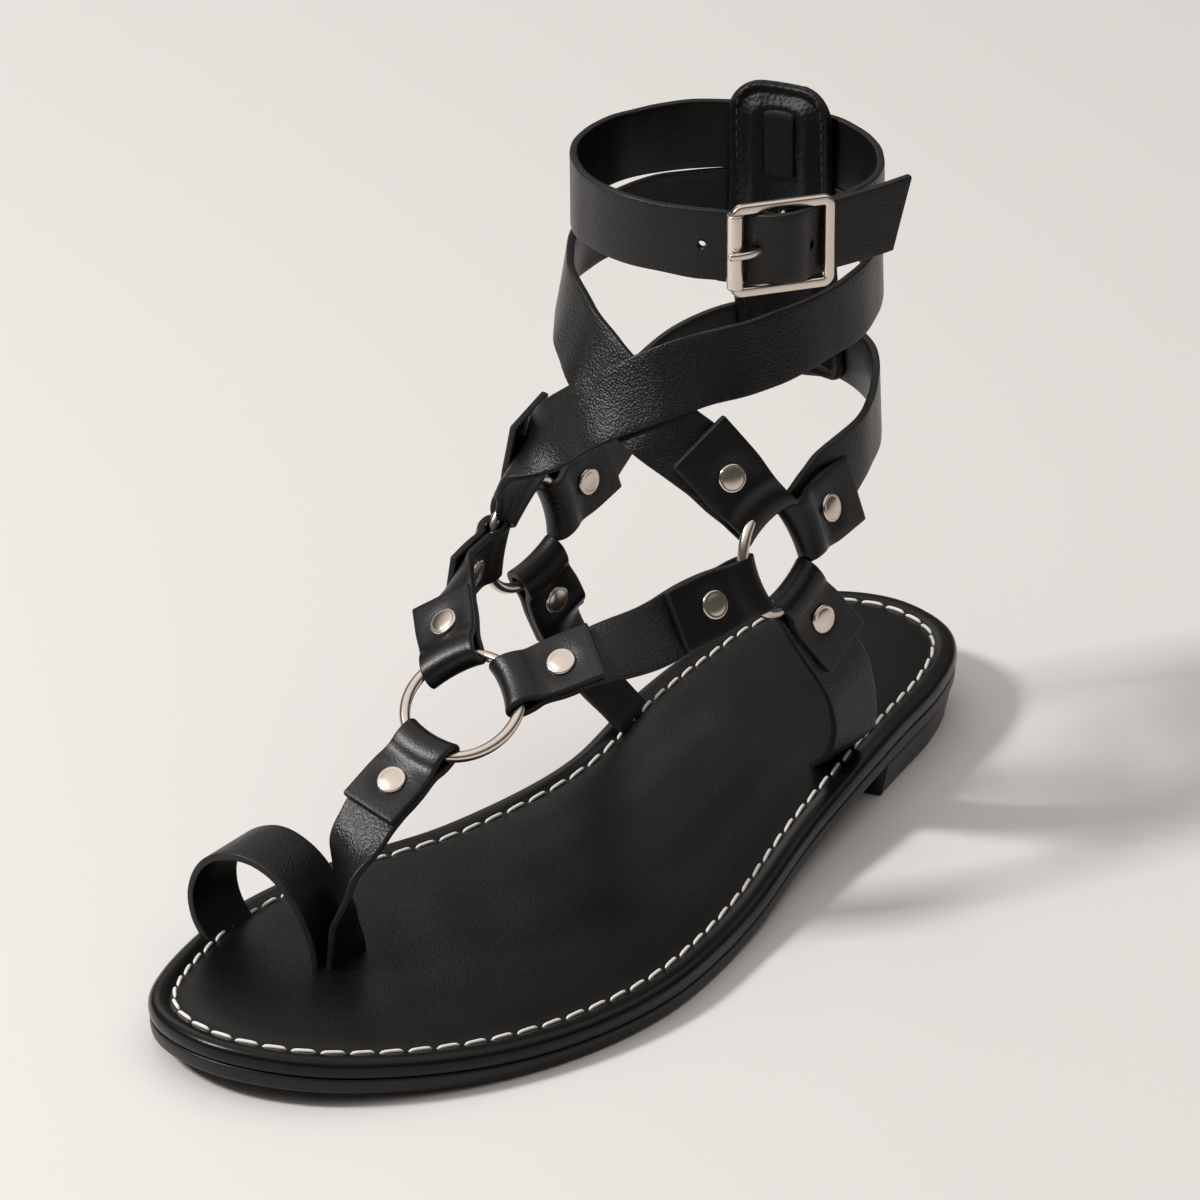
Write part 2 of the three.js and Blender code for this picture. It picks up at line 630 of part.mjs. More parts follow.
// The fixed end, skived thin, folds round the middle bar from under it and back below the
// tongue. The tongue goes under the roller, over the middle bar and under the far bar.
const FIXED_END = [
  { e: 5.6, n: -0.75, thick: SKIVED },
  { e: 3, n: 0.75, thick: SKIVED },
  { e: 1.2, n: 1.6, thick: SKIVED },
  { e: -0.2, n: 2, thick: SKIVED },
  { e: -1.5, n: 1.35, thick: SKIVED },
  { e: -2, n: 0, thick: SKIVED },
  { e: -1.5, n: -1.35, thick: SKIVED },
  { e: 0, n: -2.05, thick: SKIVED },
  { e: 3.5, n: -2.7, thick: 1.2 },
  { e: 7.2, n: -3.6, thick: 1.5 },
];
const TONGUE = [
  { e: -10.8, n: -3, rise: 0 },
  { e: -8.4, n: -2, rise: 0 },
  { e: -5.5, n: 0.5, rise: 0 },
  { e: -2.6, n: 3, rise: 0 },
  { e: 0, n: 3.8, rise: 0 },
  { e: 3, n: 3, rise: 0 },
  { e: 6.2, n: 0.2, rise: 0 },
  { e: 8.8, n: -1.8, rise: 0 },
  { e: 11, n: -2.4, rise: 0.2 },
  { e: 16, n: -3.2, rise: 0.8 },
  { e: 21.5, n: -4.2, rise: 1.7 },
  { e: 27, n: -5.4, rise: 2.8 },
];
// The way round the ankle between them, as angles on the form. The tongue's last steps rise
// off the form towards the roller.
const AROUND = Array.from({ length: 25 }, (_, i) => ({ angle: 78 + i * 11.8, lift: 0.5 }));
const APPROACH = [{ angle: 371, lift: 0.2 }, { angle: 382, lift: 0.6 }, { angle: 391, lift: 1.1 }];

const upright = vec(0, 0, 1);
const anklePlaces = [
  ...FIXED_END.map(({ e, n, thick }) => ({ at: atBuckle(e, n), thick })),
  ...[...AROUND, ...APPROACH].map(({ angle, lift }) => ({
    at: legStation({ angle, z: ankleHeight(angle), lift }).at,
  })),
  ...TONGUE.map(({ e, n, rise }) => ({ at: atBuckle(e, n, rise) })),
].map(place => ({ ...place, across: upright, half: ANKLE_STRAP.width / 2 }));

// A block about the buckle's own directions, for cutting and for the prong.
function buckleBlock(e, n, length, depth, height, slope = 0) {
  const tilt = buckleAlong.clone().multiplyScalar(Math.cos(slope));
  tilt.addScaledVector(buckleOut, Math.sin(slope));
  const frame = { at: atBuckle(e, n), along: tilt, out: upright.clone().cross(tilt).negate() };
  frame.across = frame.along.clone().cross(frame.out);
  return solid(toFrame(new THREE.BoxGeometry(length, depth, height), frame));
}
const SLOT = PRONG.width + 2 * GAP;
let ankleStrap = solid(band(anklePlaces));
ankleStrap = ankleStrap.subtract(buckleBlock(-0.8, 0.1, 7.6, 5.6, 2 + 2 * GAP));
ankleStrap = ankleStrap.subtract(buckleBlock(-5.4, 1, 5.6, 6, SLOT));
add('ankle_strap', fromSolid(ankleStrap), LEATHER_BLACK);

// Geometry about the Y axis, stood upright at a place across the buckle.
function standing(geometry, e) {
  const across = buckleAlong.clone().cross(upright);
  return toFrame(geometry, { at: atBuckle(e, 0), along: buckleAlong, out: upright, across });
}

// Profile of a sleeve between two radii, `half` long each way.
const sleeve = (inner, outer, half) => [
  [inner, -half], [outer, -half], [outer, half], [inner, half], [inner, -half],
].map(([r, y]) => new THREE.Vector2(r, y));

// The frame: a round wire bent to a rectangle with rounded corners, with a bar across.
function frameWire() {
  const { width, height, bar: radius, corner } = BUCKLE;
  const halfE = width / 2 - radius - corner;
  const halfZ = height / 2 - radius - corner;
  const path = [];
  for (const [signE, signZ, from] of [[1, 1, 0], [-1, 1, 90], [-1, -1, 180], [1, -1, 270]]) {
    for (let k = 0; k <= 4; k++) {
      const a = THREE.MathUtils.degToRad(from + 22.5 * k);
      path.push({ e: signE * halfE, z: signZ * halfZ, a });
    }
  }
  const rings = path.map(({ e, z, a }) => {
    const points = [];
    for (let k = 0; k < 8; k++) {
      const b = k * Math.PI / 4;
      const r = corner + radius * Math.cos(b);
      points.push(atBuckle(e + r * Math.cos(a), radius * Math.sin(b), z + r * Math.sin(a)));
    }
    return points;
  });
  const position = rings.flat().flatMap(p => p.toArray());
  const index = [];
  for (let i = 0; i < rings.length; i++) {
    const next = (i + 1) % rings.length;
    for (let k = 0; k < 8; k++) {
      const a = i * 8 + k;
      const b = i * 8 + (k + 1) % 8;
      const c = next * 8 + k;
      const d = next * 8 + (k + 1) % 8;
      index.push(a, d, b, a, c, d);
    }
  }
  return indexed(position, index);
}
const sideBar = BUCKLE.width / 2 - BUCKLE.bar;
const clearHeight = BUCKLE.height - 2 * BUCKLE.bar;
const middleBar = new THREE.CylinderGeometry(
  BUCKLE.bar * 0.92, BUCKLE.bar * 0.92, clearHeight + 1, 10);
const buckle = solid(frameWire()).add(solid(standing(middleBar, 0)));
add('buckle_frame', fromSolid(buckle), NICKEL);

// The roller is a sleeve that turns freely on the front bar.
const rollerHalf = clearHeight / 2 - BUCKLE.corner + 1;
const roller = sleeve(BUCKLE.bar + GAP, BUCKLE.roller, rollerHalf);
add('buckle_roller', standing(new THREE.LatheGeometry(roller, 14), -sideBar), NICKEL);

// The prong: an eye on the middle bar, and a tongue through the strap's hole on to the roller.
const eye = sleeve(BUCKLE.bar + GAP, BUCKLE.bar + GAP + PRONG.eye, PRONG.width / 2);
const PRONG_LINE = [
  { e: -1.7, n: 0 },
  { e: -3.4, n: 0.2 },
  { e: -5.2, n: 1.1 },
  { e: -7.4, n: 2.2 },
  { e: -10.9, n: BUCKLE.roller + GAP + 0.65 },
  { e: -12.6, n: BUCKLE.roller + GAP + 0.5 },
];
const prongBar = band(PRONG_LINE.map(({ e, n }) => ({
  at: atBuckle(e, n), across: upright, half: PRONG.width / 2, thick: PRONG.depth,
})));
const prongEye = solid(standing(new THREE.LatheGeometry(eye, 14), 0));
add('buckle_prong', fromSolid(prongEye.add(solid(prongBar))), NICKEL);

// ---- heel tab -----------------------------------------------------------------------------
// A padded leather tab inside the straps at the back, rounded at its top, thin at its edges.
function heelTab() {
  const levels = 14;
  const columns = 8;
  const radius = TAB.corner;
  const degreesPerMm = 180 / Math.PI / 33;
  const rings = [];
  for (let j = 0; j <= levels; j++) {
    const z = mix(TAB.bottom, TAB.top, 1 - (1 - j / levels) ** 1.35);
    const above = Math.max(0, z - (TAB.top - radius));
    const halfWide = TAB.halfWidth - radius + Math.sqrt(Math.max(radius ** 2 - above ** 2, 0.5));
    const ringPoints = [];
    const face = (i, inside) => {
      const u = i / columns * 2 - 1;
      const plump = Math.sqrt(1 - u ** 4) * Math.min(1, (TAB.top - z) / 6 + 0.25);
      const depth = inside ? mix(TAB.edge, TAB.thickness, plump) : 0;
      const angle = TAB.angle + u * halfWide * degreesPerMm;
      const out = legNormal(angle, z);
      return onLeg(angle, z).addScaledVector(out, -GAP - depth);
    };
    for (let i = 0; i <= columns; i++) ringPoints.push(face(i, false));
    for (let i = columns; i >= 0; i--) ringPoints.push(face(i, true));
    rings.push(ringPoints);
  }
  const count = 2 * (columns + 1);
  const cap = [];
  for (let i = 0; i < columns; i++) {
    const far = count - 1 - i;
    cap.push([i, i + 1, far - 1], [i, far - 1, far]);
  }
  return stack(rings, cap);
}
add('heel_tab', heelTab(), LEATHER_BLACK);

// The stay down the outside of the tab, sewn to it between the straps: a loop over the ankle
// and wrap straps and a loop over the back strap.
const OVER = LEATHER + GAP + STAY.thickness / 2 + 0.15;
const ON_TAB = STAY.thickness / 2 + 0.1;
const STAY_LINE = [
  { z: 153.2, lift: ON_TAB },
  { z: 151.6, lift: 1.2 },
  { z: 149.9, lift: OVER },
  { z: 134, lift: OVER },
  { z: 116.2, lift: OVER },
  { z: 114, lift: 1.4 },
  { z: 111, lift: ON_TAB },
  { z: 105.5, lift: ON_TAB },
  { z: 103, lift: 1.4 },
  { z: 101.2, lift: OVER + 0.1 },
  { z: 92, lift: OVER + 0.1 },
  { z: 83.6, lift: OVER },
  { z: 81.8, lift: 1.6 },
];
const stayAcross = legNormal(TAB.angle, 120).cross(upright).normalize();
add('tab_stay', band(STAY_LINE.map(({ z, lift }) => ({
  at: onLeg(TAB.angle, z).addScaledVector(legNormal(TAB.angle, z), lift),
  across: stayAcross, half: STAY.half,
})), { thickness: STAY.thickness }), LEATHER_BLACK);

export default sandal;
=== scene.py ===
# %% [markdown]
# # A strappy gladiator sandal in black leather
#
# The sandal is a flat sole with a stitched footbed, an upper of folded and riveted straps
# joined by three metal rings, and a buckled ankle strap with a padded tab behind the heel.
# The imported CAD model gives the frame, the overall size and the names of the parts. The
# visible pieces carry the detail that its faceted solids leave out. Each is a numpy surface:
# a section carried along a path, a profile turned about an axis, or a height over an outline.

import bpy
import numpy as np
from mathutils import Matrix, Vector


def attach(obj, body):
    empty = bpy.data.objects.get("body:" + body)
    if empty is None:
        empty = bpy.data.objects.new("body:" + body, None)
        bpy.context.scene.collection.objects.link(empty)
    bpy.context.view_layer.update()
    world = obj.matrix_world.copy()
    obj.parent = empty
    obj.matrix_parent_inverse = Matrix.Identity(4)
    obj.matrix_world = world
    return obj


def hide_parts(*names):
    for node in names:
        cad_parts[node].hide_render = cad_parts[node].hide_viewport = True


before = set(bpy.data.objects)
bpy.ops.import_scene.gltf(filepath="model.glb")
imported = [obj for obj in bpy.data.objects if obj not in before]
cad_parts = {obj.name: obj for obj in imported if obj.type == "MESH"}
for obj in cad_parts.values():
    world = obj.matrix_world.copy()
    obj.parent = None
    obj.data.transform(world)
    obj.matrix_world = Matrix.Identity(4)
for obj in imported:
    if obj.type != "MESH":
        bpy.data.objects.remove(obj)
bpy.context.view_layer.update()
MM = 0.001
print("CAD nodes:", len(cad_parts))

# %% [markdown]
# ## Small tools for curves
#
# Straps follow a few known places, so they need a curve that passes through points. A
# centripetal Catmull-Rom spline does that without overshooting where points lie close
# together. All lengths in this script are in millimetres until a mesh is made.


# %% Curves and small formulas
def unit(v):
    """Each row divided by its own length."""
    v = np.asarray(v, float)
    return v / np.linalg.norm(v, axis=-1, keepdims=True)


def ease(t):
    """3t^2 - 2t^3, held at 0 and 1 outside: starts and stops gently."""
    t = np.clip(t, 0, 1)
    return t * t * (3 - 2 * t)


def spline(points, steps=12, closed=False):
    """Centripetal Catmull-Rom: a cubic over each span, knots apart by the root of distance.

    Only the first three columns set the knots, so further columns ride along."""
    p = np.asarray(points, float)
    if closed:
        p = np.vstack([p[-1:], p, p[:2]])
    else:
        p = np.vstack([2 * p[0] - p[1], p, 2 * p[-1] - p[-2]])
    knot = np.sqrt(np.maximum(np.linalg.norm(np.diff(p[:, :3], axis=0), axis=1), 1e-6))
    d0, d1, d2 = (knot[i:len(knot) - 2 + i, None] for i in range(3))
    p0, p1, p2, p3 = (p[i:len(p) - 3 + i] for i in range(4))
    slope1 = ((p1 - p0) / d0 - (p2 - p0) / (d0 + d1) + (p2 - p1) / d1) * d1
    slope2 = ((p2 - p1) / d1 - (p3 - p1) / (d1 + d2) + (p3 - p2) / d2) * d1
    t = (np.arange(steps) / steps)[None, :, None]
    line = ((2 * t**3 - 3 * t**2 + 1) * p1[:, None] + (t**3 - 2 * t**2 + t) * slope1[:, None]
            + (3 * t**2 - 2 * t**3) * p2[:, None] + (t**3 - t**2) * slope2[:, None])
    line = line.reshape(-1, p.shape[1])
    return line if closed else np.vstack([line, p[-2:-1]])


def run_length(line):
    """Distance along a line of points, from 0."""
    return np.r_[0, np.cumsum(np.linalg.norm(np.diff(line[:, :3], axis=0), axis=1))]


def at_distance(line, distance):
    """Every column of a line read off at distances along it."""
    length = run_length(line)
    return np.stack([np.interp(distance, length, column) for column in line.T], axis=1)


def facing(azimuth, rise=0.0):
    """Unit vector towards an azimuth (0 the toes, 90 the outer side), raised above level."""
    a, r = np.radians(azimuth), np.radians(rise)
    return np.array([np.sin(a) * np.cos(r), -np.cos(a) * np.cos(r), np.sin(r)])


# %% [markdown]
# ## From grids to meshes
#
# A grid of points with `rows` along and `columns` round becomes a mesh by joining
# neighbours with quads. Two kinds are needed: tubes whose ends are capped (straps, wires)
# and rings that close both ways (a torus). Values such as "this is a cut edge" are stored
# on the points, so that a material can read them.


# %% Grid meshes
def piece_from(name, points, faces, material, slot, stands_for, values=None):
    """A mesh object from millimetre points, riding on the sandal; `slot` is not used."""
    mesh = bpy.data.meshes.new(name)
    mesh.from_pydata(np.asarray(points) * MM, [], faces)
    mesh.polygons.foreach_set("use_smooth", np.full(len(mesh.polygons), True))
    for key, column in (values or {}).items():
        attribute = mesh.attributes.new(key, "FLOAT", "POINT")
        attribute.data.foreach_set("value", np.asarray(column, np.float32))
    mesh.materials.append(material)
    mesh.update()
    piece = bpy.data.objects.new(name, mesh)
    bpy.context.scene.collection.objects.link(piece)
    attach(piece, "root")
    if stands_for:
        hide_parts(*stands_for)
    print(f"{name}: {len(mesh.polygons)} faces")
    return piece


def grid_faces(rows, columns, wrap_rows=False):
    """Quads of a grid whose columns close on themselves; rows may close too."""
    i = np.arange(rows if wrap_rows else rows - 1)[:, None]
    j = np.arange(columns)[None, :]
    k = (j + 1) % columns
    n = (i + 1) % rows
    quads = np.stack([i * columns + j, i * columns + k, n * columns + k, n * columns + j], -1)
    return quads.reshape(-1, 4).tolist()


def capped(grid):
    """Points and faces of a tube given as a (rows, columns, 3) grid, closed by fans."""
    rows, columns = grid.shape[:2]
    points = np.vstack([grid.reshape(-1, 3), grid[0].mean(0), grid[-1].mean(0)])
    j = np.arange(columns)
    k = (j + 1) % columns
    first, last = rows * columns, rows * columns + 1
    top = (rows - 1) * columns
    faces = grid_faces(rows, columns)
    faces += np.stack([np.full(columns, first), k, j], 1).tolist()
    faces += np.stack([top + j, top + k, np.full(columns, last)], 1).tolist()
    return points, faces


def many(shapes):
    """Joins (points, faces) shapes into one set of points and faces."""
    points, faces, base = [], [], 0
    for p, f in shapes:
        points.append(p)
        faces += [[v + base for v in face] for face in f]
        base += len(p)
    return np.vstack(points), faces


# %% [markdown]
# ## Camera, floor and light
#
# A long lens from the front outer side keeps the sandal's proportions. The main light is
# one fairly small square lamp high on the left, so shadows fall to the right. A weaker lamp
# behind draws the edges of the black leather. Round them is a plain sky, bright overhead
# and dark at the horizon, which fills the shadows. Black leather shows its form only by
# what it reflects, so the places of the bright parts matter more than their strength.

# %% Camera
CAMERA_AT = np.array([851.3, -1332.7, 782.9])
LOOK_AT = np.array([1.0, -94.0, 66.0])
camera_data = bpy.data.cameras.new("camera")
camera_data.lens = 236
camera_data.sensor_width = 36
camera = bpy.data.objects.new("camera", camera_data)
camera.location = CAMERA_AT * MM
aim = Vector((LOOK_AT - CAMERA_AT) * MM)
camera.rotation_euler = aim.to_track_quat("-Z", "Y").to_euler()
bpy.context.scene.collection.objects.link(camera)
bpy.context.scene.camera = camera

# %% Floor, lamps and sky
RIGHT = unit(np.cross(LOOK_AT - CAMERA_AT, [0, 0, 1]))
NEAR = unit((CAMERA_AT - LOOK_AT) * [1, 1, 0])
UP = np.array([0.0, 0.0, 1.0])
SANDAL_MIDDLE = Vector((0, -0.09, 0.05))


def new_material(name, **values):
    """A material with one Principled shader, its sockets set by name with _ for spaces.

    Returns the material with its node tree and shader."""
    material = bpy.data.materials.new(name)
    material.use_nodes = True
    shader = material.node_tree.nodes["Principled BSDF"]
    for key, value in values.items():
        shader.inputs[key.replace("_", " ")].default_value = value
    return material, material.node_tree, shader


def lamp(name, right, near, up, size, power, color):
    """A square area lamp aimed at the sandal: metres from its heel, right, nearer and up."""
    data = bpy.data.lights.new(name, "AREA")
    data.size = size
    data.energy = power
    data.color = color
    item = bpy.data.objects.new(name, data)
    place = Vector(RIGHT * right + NEAR * near + UP * up)
    item.location = place
    item.rotation_euler = (SANDAL_MIDDLE - place).to_track_quat("-Z", "Y").to_euler()
    bpy.context.scene.collection.objects.link(item)


floor_finish, _, _ = new_material("pale_floor", Base_Color=(0.735, 0.71, 0.695, 1), Roughness=0.65)
bpy.ops.mesh.primitive_plane_add(size=9)
floor = bpy.context.object
floor.name = "floor"
floor.data.materials.append(floor_finish)
lamp("key", right=-1.35, near=0.35, up=1.3, size=0.29, power=27, color=(1.0, 0.988, 0.972))
lamp("rim", right=-0.5, near=-1.5, up=0.9, size=0.6, power=1.2, color=(1.0, 0.98, 0.96))
sky = bpy.data.worlds.new("studio")
sky.use_nodes = True
tree = sky.node_tree
facing_up = tree.nodes.new("ShaderNodeSeparateXYZ")
ceiling = tree.nodes.new("ShaderNodeMapRange")
ceiling.interpolation_type = "SMOOTHSTEP"
for key, value in {"From Min": 0.4, "From Max": 0.9, "To Min": 0.09, "To Max": 0.98}.items():
    ceiling.inputs[key].default_value = value
tree.links.new(tree.nodes.new("ShaderNodeTexCoord").outputs["Generated"], facing_up.inputs[0])
tree.links.new(facing_up.outputs["Z"], ceiling.inputs["Value"])
tree.links.new(ceiling.outputs["Result"], tree.nodes["Background"].inputs["Strength"])
tree.nodes["Background"].inputs["Color"].default_value = (1.0, 0.96, 0.925, 1)
bpy.context.scene.world = sky
bpy.context.scene.view_settings.view_transform = "Standard"
print("camera, floor and lamps are set")

# %% [markdown]
# ## Finishes
#
# The straps are black leather with a fine pebbled grain on the outer face, a smoother
# inner face and dark grey painted edges. Grain is made of Voronoi cells, half a millimetre
# across on the straps and larger on the padded tab, pushed about by noise so that no rows
# show. It is bump only, because a grain of about a tenth of a millimetre needs no geometry.
# The cut edges come from the `edge` value that each strap's points carry.


# %% Node helpers
def node(tree, kind, **settings):
    """Adds a node, setting attributes by name and input sockets given as in_NAME."""
    item = tree.nodes.new(kind)
    for key, value in settings.items():
        if key.startswith("in_"):
            item.inputs[key[3:].replace("_", " ")].default_value = value
        else:
            setattr(item, key, value)
    return item


def blend_value(tree, factor, low, high):
    """Mixes two numbers by a socket."""
    item = node(tree, "ShaderNodeMapRange", in_To_Min=low, in_To_Max=high)
    tree.links.new(factor, item.inputs["Value"])
    return item.outputs["Result"]


def grain_height(tree, coordinate, cell, fine):
    """Height of a pebbled leather: warped Voronoi cells of a size plus fine noise, 0 to 1."""
    warp = node(tree, "ShaderNodeTexNoise", in_Scale=0.35 / (cell * MM), in_Detail=2.0)
    push = node(tree, "ShaderNodeVectorMath", operation="SCALE", in_Scale=cell * MM * 0.9)
    moved = node(tree, "ShaderNodeVectorMath", operation="ADD")
    cells = node(tree, "ShaderNodeTexVoronoi", feature="SMOOTH_F1", in_Scale=1 / (cell * MM),
                 in_Smoothness=0.55)
    dust = node(tree, "ShaderNodeTexNoise", in_Scale=3.2 / (cell * MM), in_Detail=3.0)
    total = node(tree, "ShaderNodeMath", operation="MULTIPLY_ADD")
    total.inputs[1].default_value = fine
    flip = node(tree, "ShaderNodeMath", operation="SUBTRACT")
    flip.inputs[0].default_value = 1.0
    link = tree.links.new
    link(coordinate, warp.inputs["Vector"])
    link(warp.outputs["Color"], push.inputs[0])
    link(coordinate, moved.inputs[0])
    link(push.outputs["Vector"], moved.inputs[1])
    link(moved.outputs["Vector"], cells.inputs["Vector"])
    link(coordinate, dust.inputs["Vector"])
    link(cells.outputs["Distance"], flip.inputs[1])
    link(dust.outputs["Fac"], total.inputs[0])
    link(flip.outputs["Value"], total.inputs[2])
    return total.outputs["Value"]


# %% The leather material
def leather(name, color, edge_color, cell, depth, roughness, shine=0.34, edge_shift=0.06):
    """Pebbled leather; points with edge = 1 are painted edge, lining = 1 is the smooth back.

    Its roughness is the given one, less 0.08 on the faces and plus `edge_shift` at the
    edges; a noise adds up to 0.16 to both."""
    material, tree, shader = new_material(name, Specular_IOR_Level=shine)
    link = tree.links.new
    place = node(tree, "ShaderNodeTexCoord").outputs["Object"]
    height = grain_height(tree, place, cell, fine=0.35)
    edge = node(tree, "ShaderNodeAttribute", attribute_name="edge").outputs["Fac"]
    lining = node(tree, "ShaderNodeAttribute", attribute_name="lining").outputs["Fac"]
    plain = node(tree, "ShaderNodeMath", operation="MAXIMUM")
    link(edge, plain.inputs[0])
    link(lining, plain.inputs[1])
    worn = node(tree, "ShaderNodeTexNoise", in_Scale=55.0, in_Detail=4.0)
    link(place, worn.inputs["Vector"])
    bump = node(tree, "ShaderNodeBump", in_Distance=depth * MM)
    link(height, bump.inputs["Height"])
    strength = blend_value(tree, plain.outputs["Value"], low=1.0, high=0.3)
    link(strength, bump.inputs["Strength"])
    link(bump.outputs["Normal"], shader.inputs["Normal"])
    rough = node(tree, "ShaderNodeMath", operation="MULTIPLY_ADD")
    link(worn.outputs["Fac"], rough.inputs[0])
    rough.inputs[1].default_value = 0.16
    link(blend_value(tree, edge, roughness - 0.08, roughness + edge_shift), rough.inputs[2])
    link(rough.outputs["Value"], shader.inputs["Roughness"])
    tone = node(tree, "ShaderNodeMix", data_type="RGBA")
    tone.inputs["A"].default_value = (*color, 1)
    tone.inputs["B"].default_value = (*edge_color, 1)
    link(edge, tone.inputs["Factor"])
    cloudy = node(tree, "ShaderNodeMix", data_type="RGBA", blend_type="MULTIPLY")
    cloudy.inputs["Factor"].default_value = 0.35
    link(tone.outputs["Result"], cloudy.inputs["A"])
    link(worn.outputs["Color"], cloudy.inputs["B"])
    link(cloudy.outputs["Result"], shader.inputs["Base Color"])
    return material


# %% Leathers and sole
STRAP_LEATHER = leather("black_strap_leather", (0.0042, 0.0041, 0.0043), (0.010, 0.010, 0.0105),
                        cell=0.50, depth=0.10, roughness=0.36)
TAB_LEATHER = leather("black_tab_leather", (0.004, 0.0039, 0.004), (0.008, 0.008, 0.0084),
                      cell=1.0, depth=0.15, roughness=0.46, shine=0.28)
FOOTBED_LEATHER = leather("black_footbed_leather", (0.0040, 0.0034, 0.0030),
                          (0.0045, 0.0042, 0.0040), cell=0.45, depth=0.045, roughness=0.40,
                          shine=0.24, edge_shift=-0.19)
SOLE_RUBBER = leather("black_sole_edge", (0.005, 0.0049, 0.005), (0.005, 0.0049, 0.005),
                      cell=0.9, depth=0.03, roughness=0.38)


# %% Thread and metal
def thread(name, color):
    """Dull twisted thread: its strands are a fine noise, as bump."""
    material, tree, shader = new_material(name, Base_Color=(*color, 1), Roughness=0.75,
                                          Sheen_Weight=0.2)
    place = node(tree, "ShaderNodeTexCoord").outputs["Object"]
    strands = node(tree, "ShaderNodeTexNoise", in_Scale=3500.0, in_Detail=2.0)
    bump = node(tree, "ShaderNodeBump", in_Distance=0.05 * MM, in_Strength=0.6)
    tree.links.new(place, strands.inputs["Vector"])
    tree.links.new(strands.outputs["Fac"], bump.inputs["Height"])
    tree.links.new(bump.outputs["Normal"], shader.inputs["Normal"])
    return material


OFF_WHITE_THREAD = thread("off_white_thread", (0.80, 0.78, 0.74))
BLACK_THREAD = thread("black_thread", (0.012, 0.012, 0.012))


def nickel(name, roughness):
    """Polished pale nickel with faint wear, a noise that only roughens it."""
    material, tree, shader = new_material(name, Base_Color=(0.69, 0.61, 0.545, 1), Metallic=1.0)
    place = node(tree, "ShaderNodeTexCoord").outputs["Object"]
    wear = node(tree, "ShaderNodeTexNoise", in_Scale=420.0, in_Detail=5.0)
    tree.links.new(place, wear.inputs["Vector"])
    tree.links.new(blend_value(tree, wear.outputs["Fac"], roughness - 0.05, roughness + 0.1),
                   shader.inputs["Roughness"])
    return material


NICKEL = nickel("pale_nickel", 0.17)
BUCKLE_NICKEL = nickel("satin_nickel", 0.21)
print("finishes:", len(bpy.data.materials))

# %% [markdown]
# ## The leg form and the rings
#
# The straps lie on an unseen form like an ankle: a stack of ellipses, wider in front
# below and round at the top. Angles go round it from the toes, positive to the outer
# side. Three rings join the straps: one on the instep and one on each side of the ankle.

# %% Leg form
LEG = np.array([
    # height, middle x, middle y, half width, half length
    [40, -2.5, -44, 31, 48],
    [62, -2.5, -45, 30.5, 46],
    [80, -2.5, -45.5, 30, 43.5],
    [100, -3, -45, 31, 40.5],
    [118, -3.5, -41.5, 32.4, 34.6],
    [133, -2.8, -40.7, 31.4, 31.8],
    [144, -2.8, -40.7, 31.3, 31.3],
    [170, -2.8, -40.7, 31.3, 31.3],
])


def on_leg(angle, z):
    """Point of the ellipse at a height: middle + (half width sin a, -half length cos a)."""
    a = np.radians(angle)
    x, y, wide, long = (np.interp(z, LEG[:, 0], LEG[:, k]) for k in range(1, 5))
    return np.stack(np.broadcast_arrays(x + wide * np.sin(a), y - long * np.cos(a), z), -1)


def leg_out(angle, z):
    """Outward normal: the step round the form crossed with the step up it."""
    around = on_leg(angle + 0.5, z) - on_leg(angle - 0.5, z)
    upwards = on_leg(angle, z + 2.0) - on_leg(angle, z - 2.0)
    return unit(np.cross(around, upwards))


# %% Rings
LEATHER = 1.7  # thickness of a strap
RING_RADIUS = 12.5  # from the ring's middle to the middle of its wire
RING_WIRE = 1.2  # the wire's own radius
RINGS = {
    "front": (np.array([-5.5, -135.2, 56.0]), facing(10, 56)),
    "lateral": (np.array([28.9, -69.4, 74.4]), facing(92, 9)),
    "medial": (np.array([-32.4, -74.6, 65.2]), facing(-93, 4)),
}


def ring_plane(out):
    """Two unit directions in a plane that faces `out`: level, rearward; and rising."""
    level = unit(np.cross(UP, out))
    level = level * np.sign(level[1])
    return level, unit(UP - out * out[2])


def torus(middle, out, radius, wire, around=96, section=20):
    """Points at radius + wire cos b from the middle, raised wire sin b, for all angles."""
    level, rising = ring_plane(out)
    a = np.linspace(0, 2 * np.pi, around, endpoint=False)[:, None, None]
    b = np.linspace(0, 2 * np.pi, section, endpoint=False)[None, :, None]
    spoke = np.cos(a) * level + np.sin(a) * rising
    # The level, rising and outward directions may be left-handed: turn the section to suit.
    hand = np.sign(np.dot(np.cross(level, rising), out))
    grid = middle + spoke * (radius + wire * np.cos(b)) - hand * out * (wire * np.sin(b))
    return grid.reshape(-1, 3), grid_faces(around, section, wrap_rows=True)


for name, (middle, out) in RINGS.items():
    points, faces = torus(middle, out, RING_RADIUS, RING_WIRE)
    piece_from(f"{name}_ring_wire", points, faces, NICKEL, "nickel", [f"{name}_ring"])

# %% [markdown]
# ## Straps
#
# A strap end goes round a ring, back on itself and is held by a double cap rivet. So its
# path runs from the cut end of the flap, along the flap, round the wire, and away on the
# inner layer. Stations give a place and the outward direction; the spine through them is
# the middle between the two layers at a folded end.

# %% Strap paths
STRAP = 15.5  # width
NARROW = 14.0  # width of the thinner straps
PINCH = 6.2  # from the wire to where the two layers have met
FLAT = 4.0  # how far past its rivet the inner layer runs straight
RISE = 14.0  # the length over which the inner layer then comes up to the middle
LAYER = LEATHER / 2 + 0.1  # from the middle of a folded end to the middle of a layer
FOLD_RADIUS = RING_WIRE + 0.3 + LEATHER / 2  # the fold's, at the middle of the leather
FOLD_MIDDLE = 11.3  # from the ring's middle to the fold's


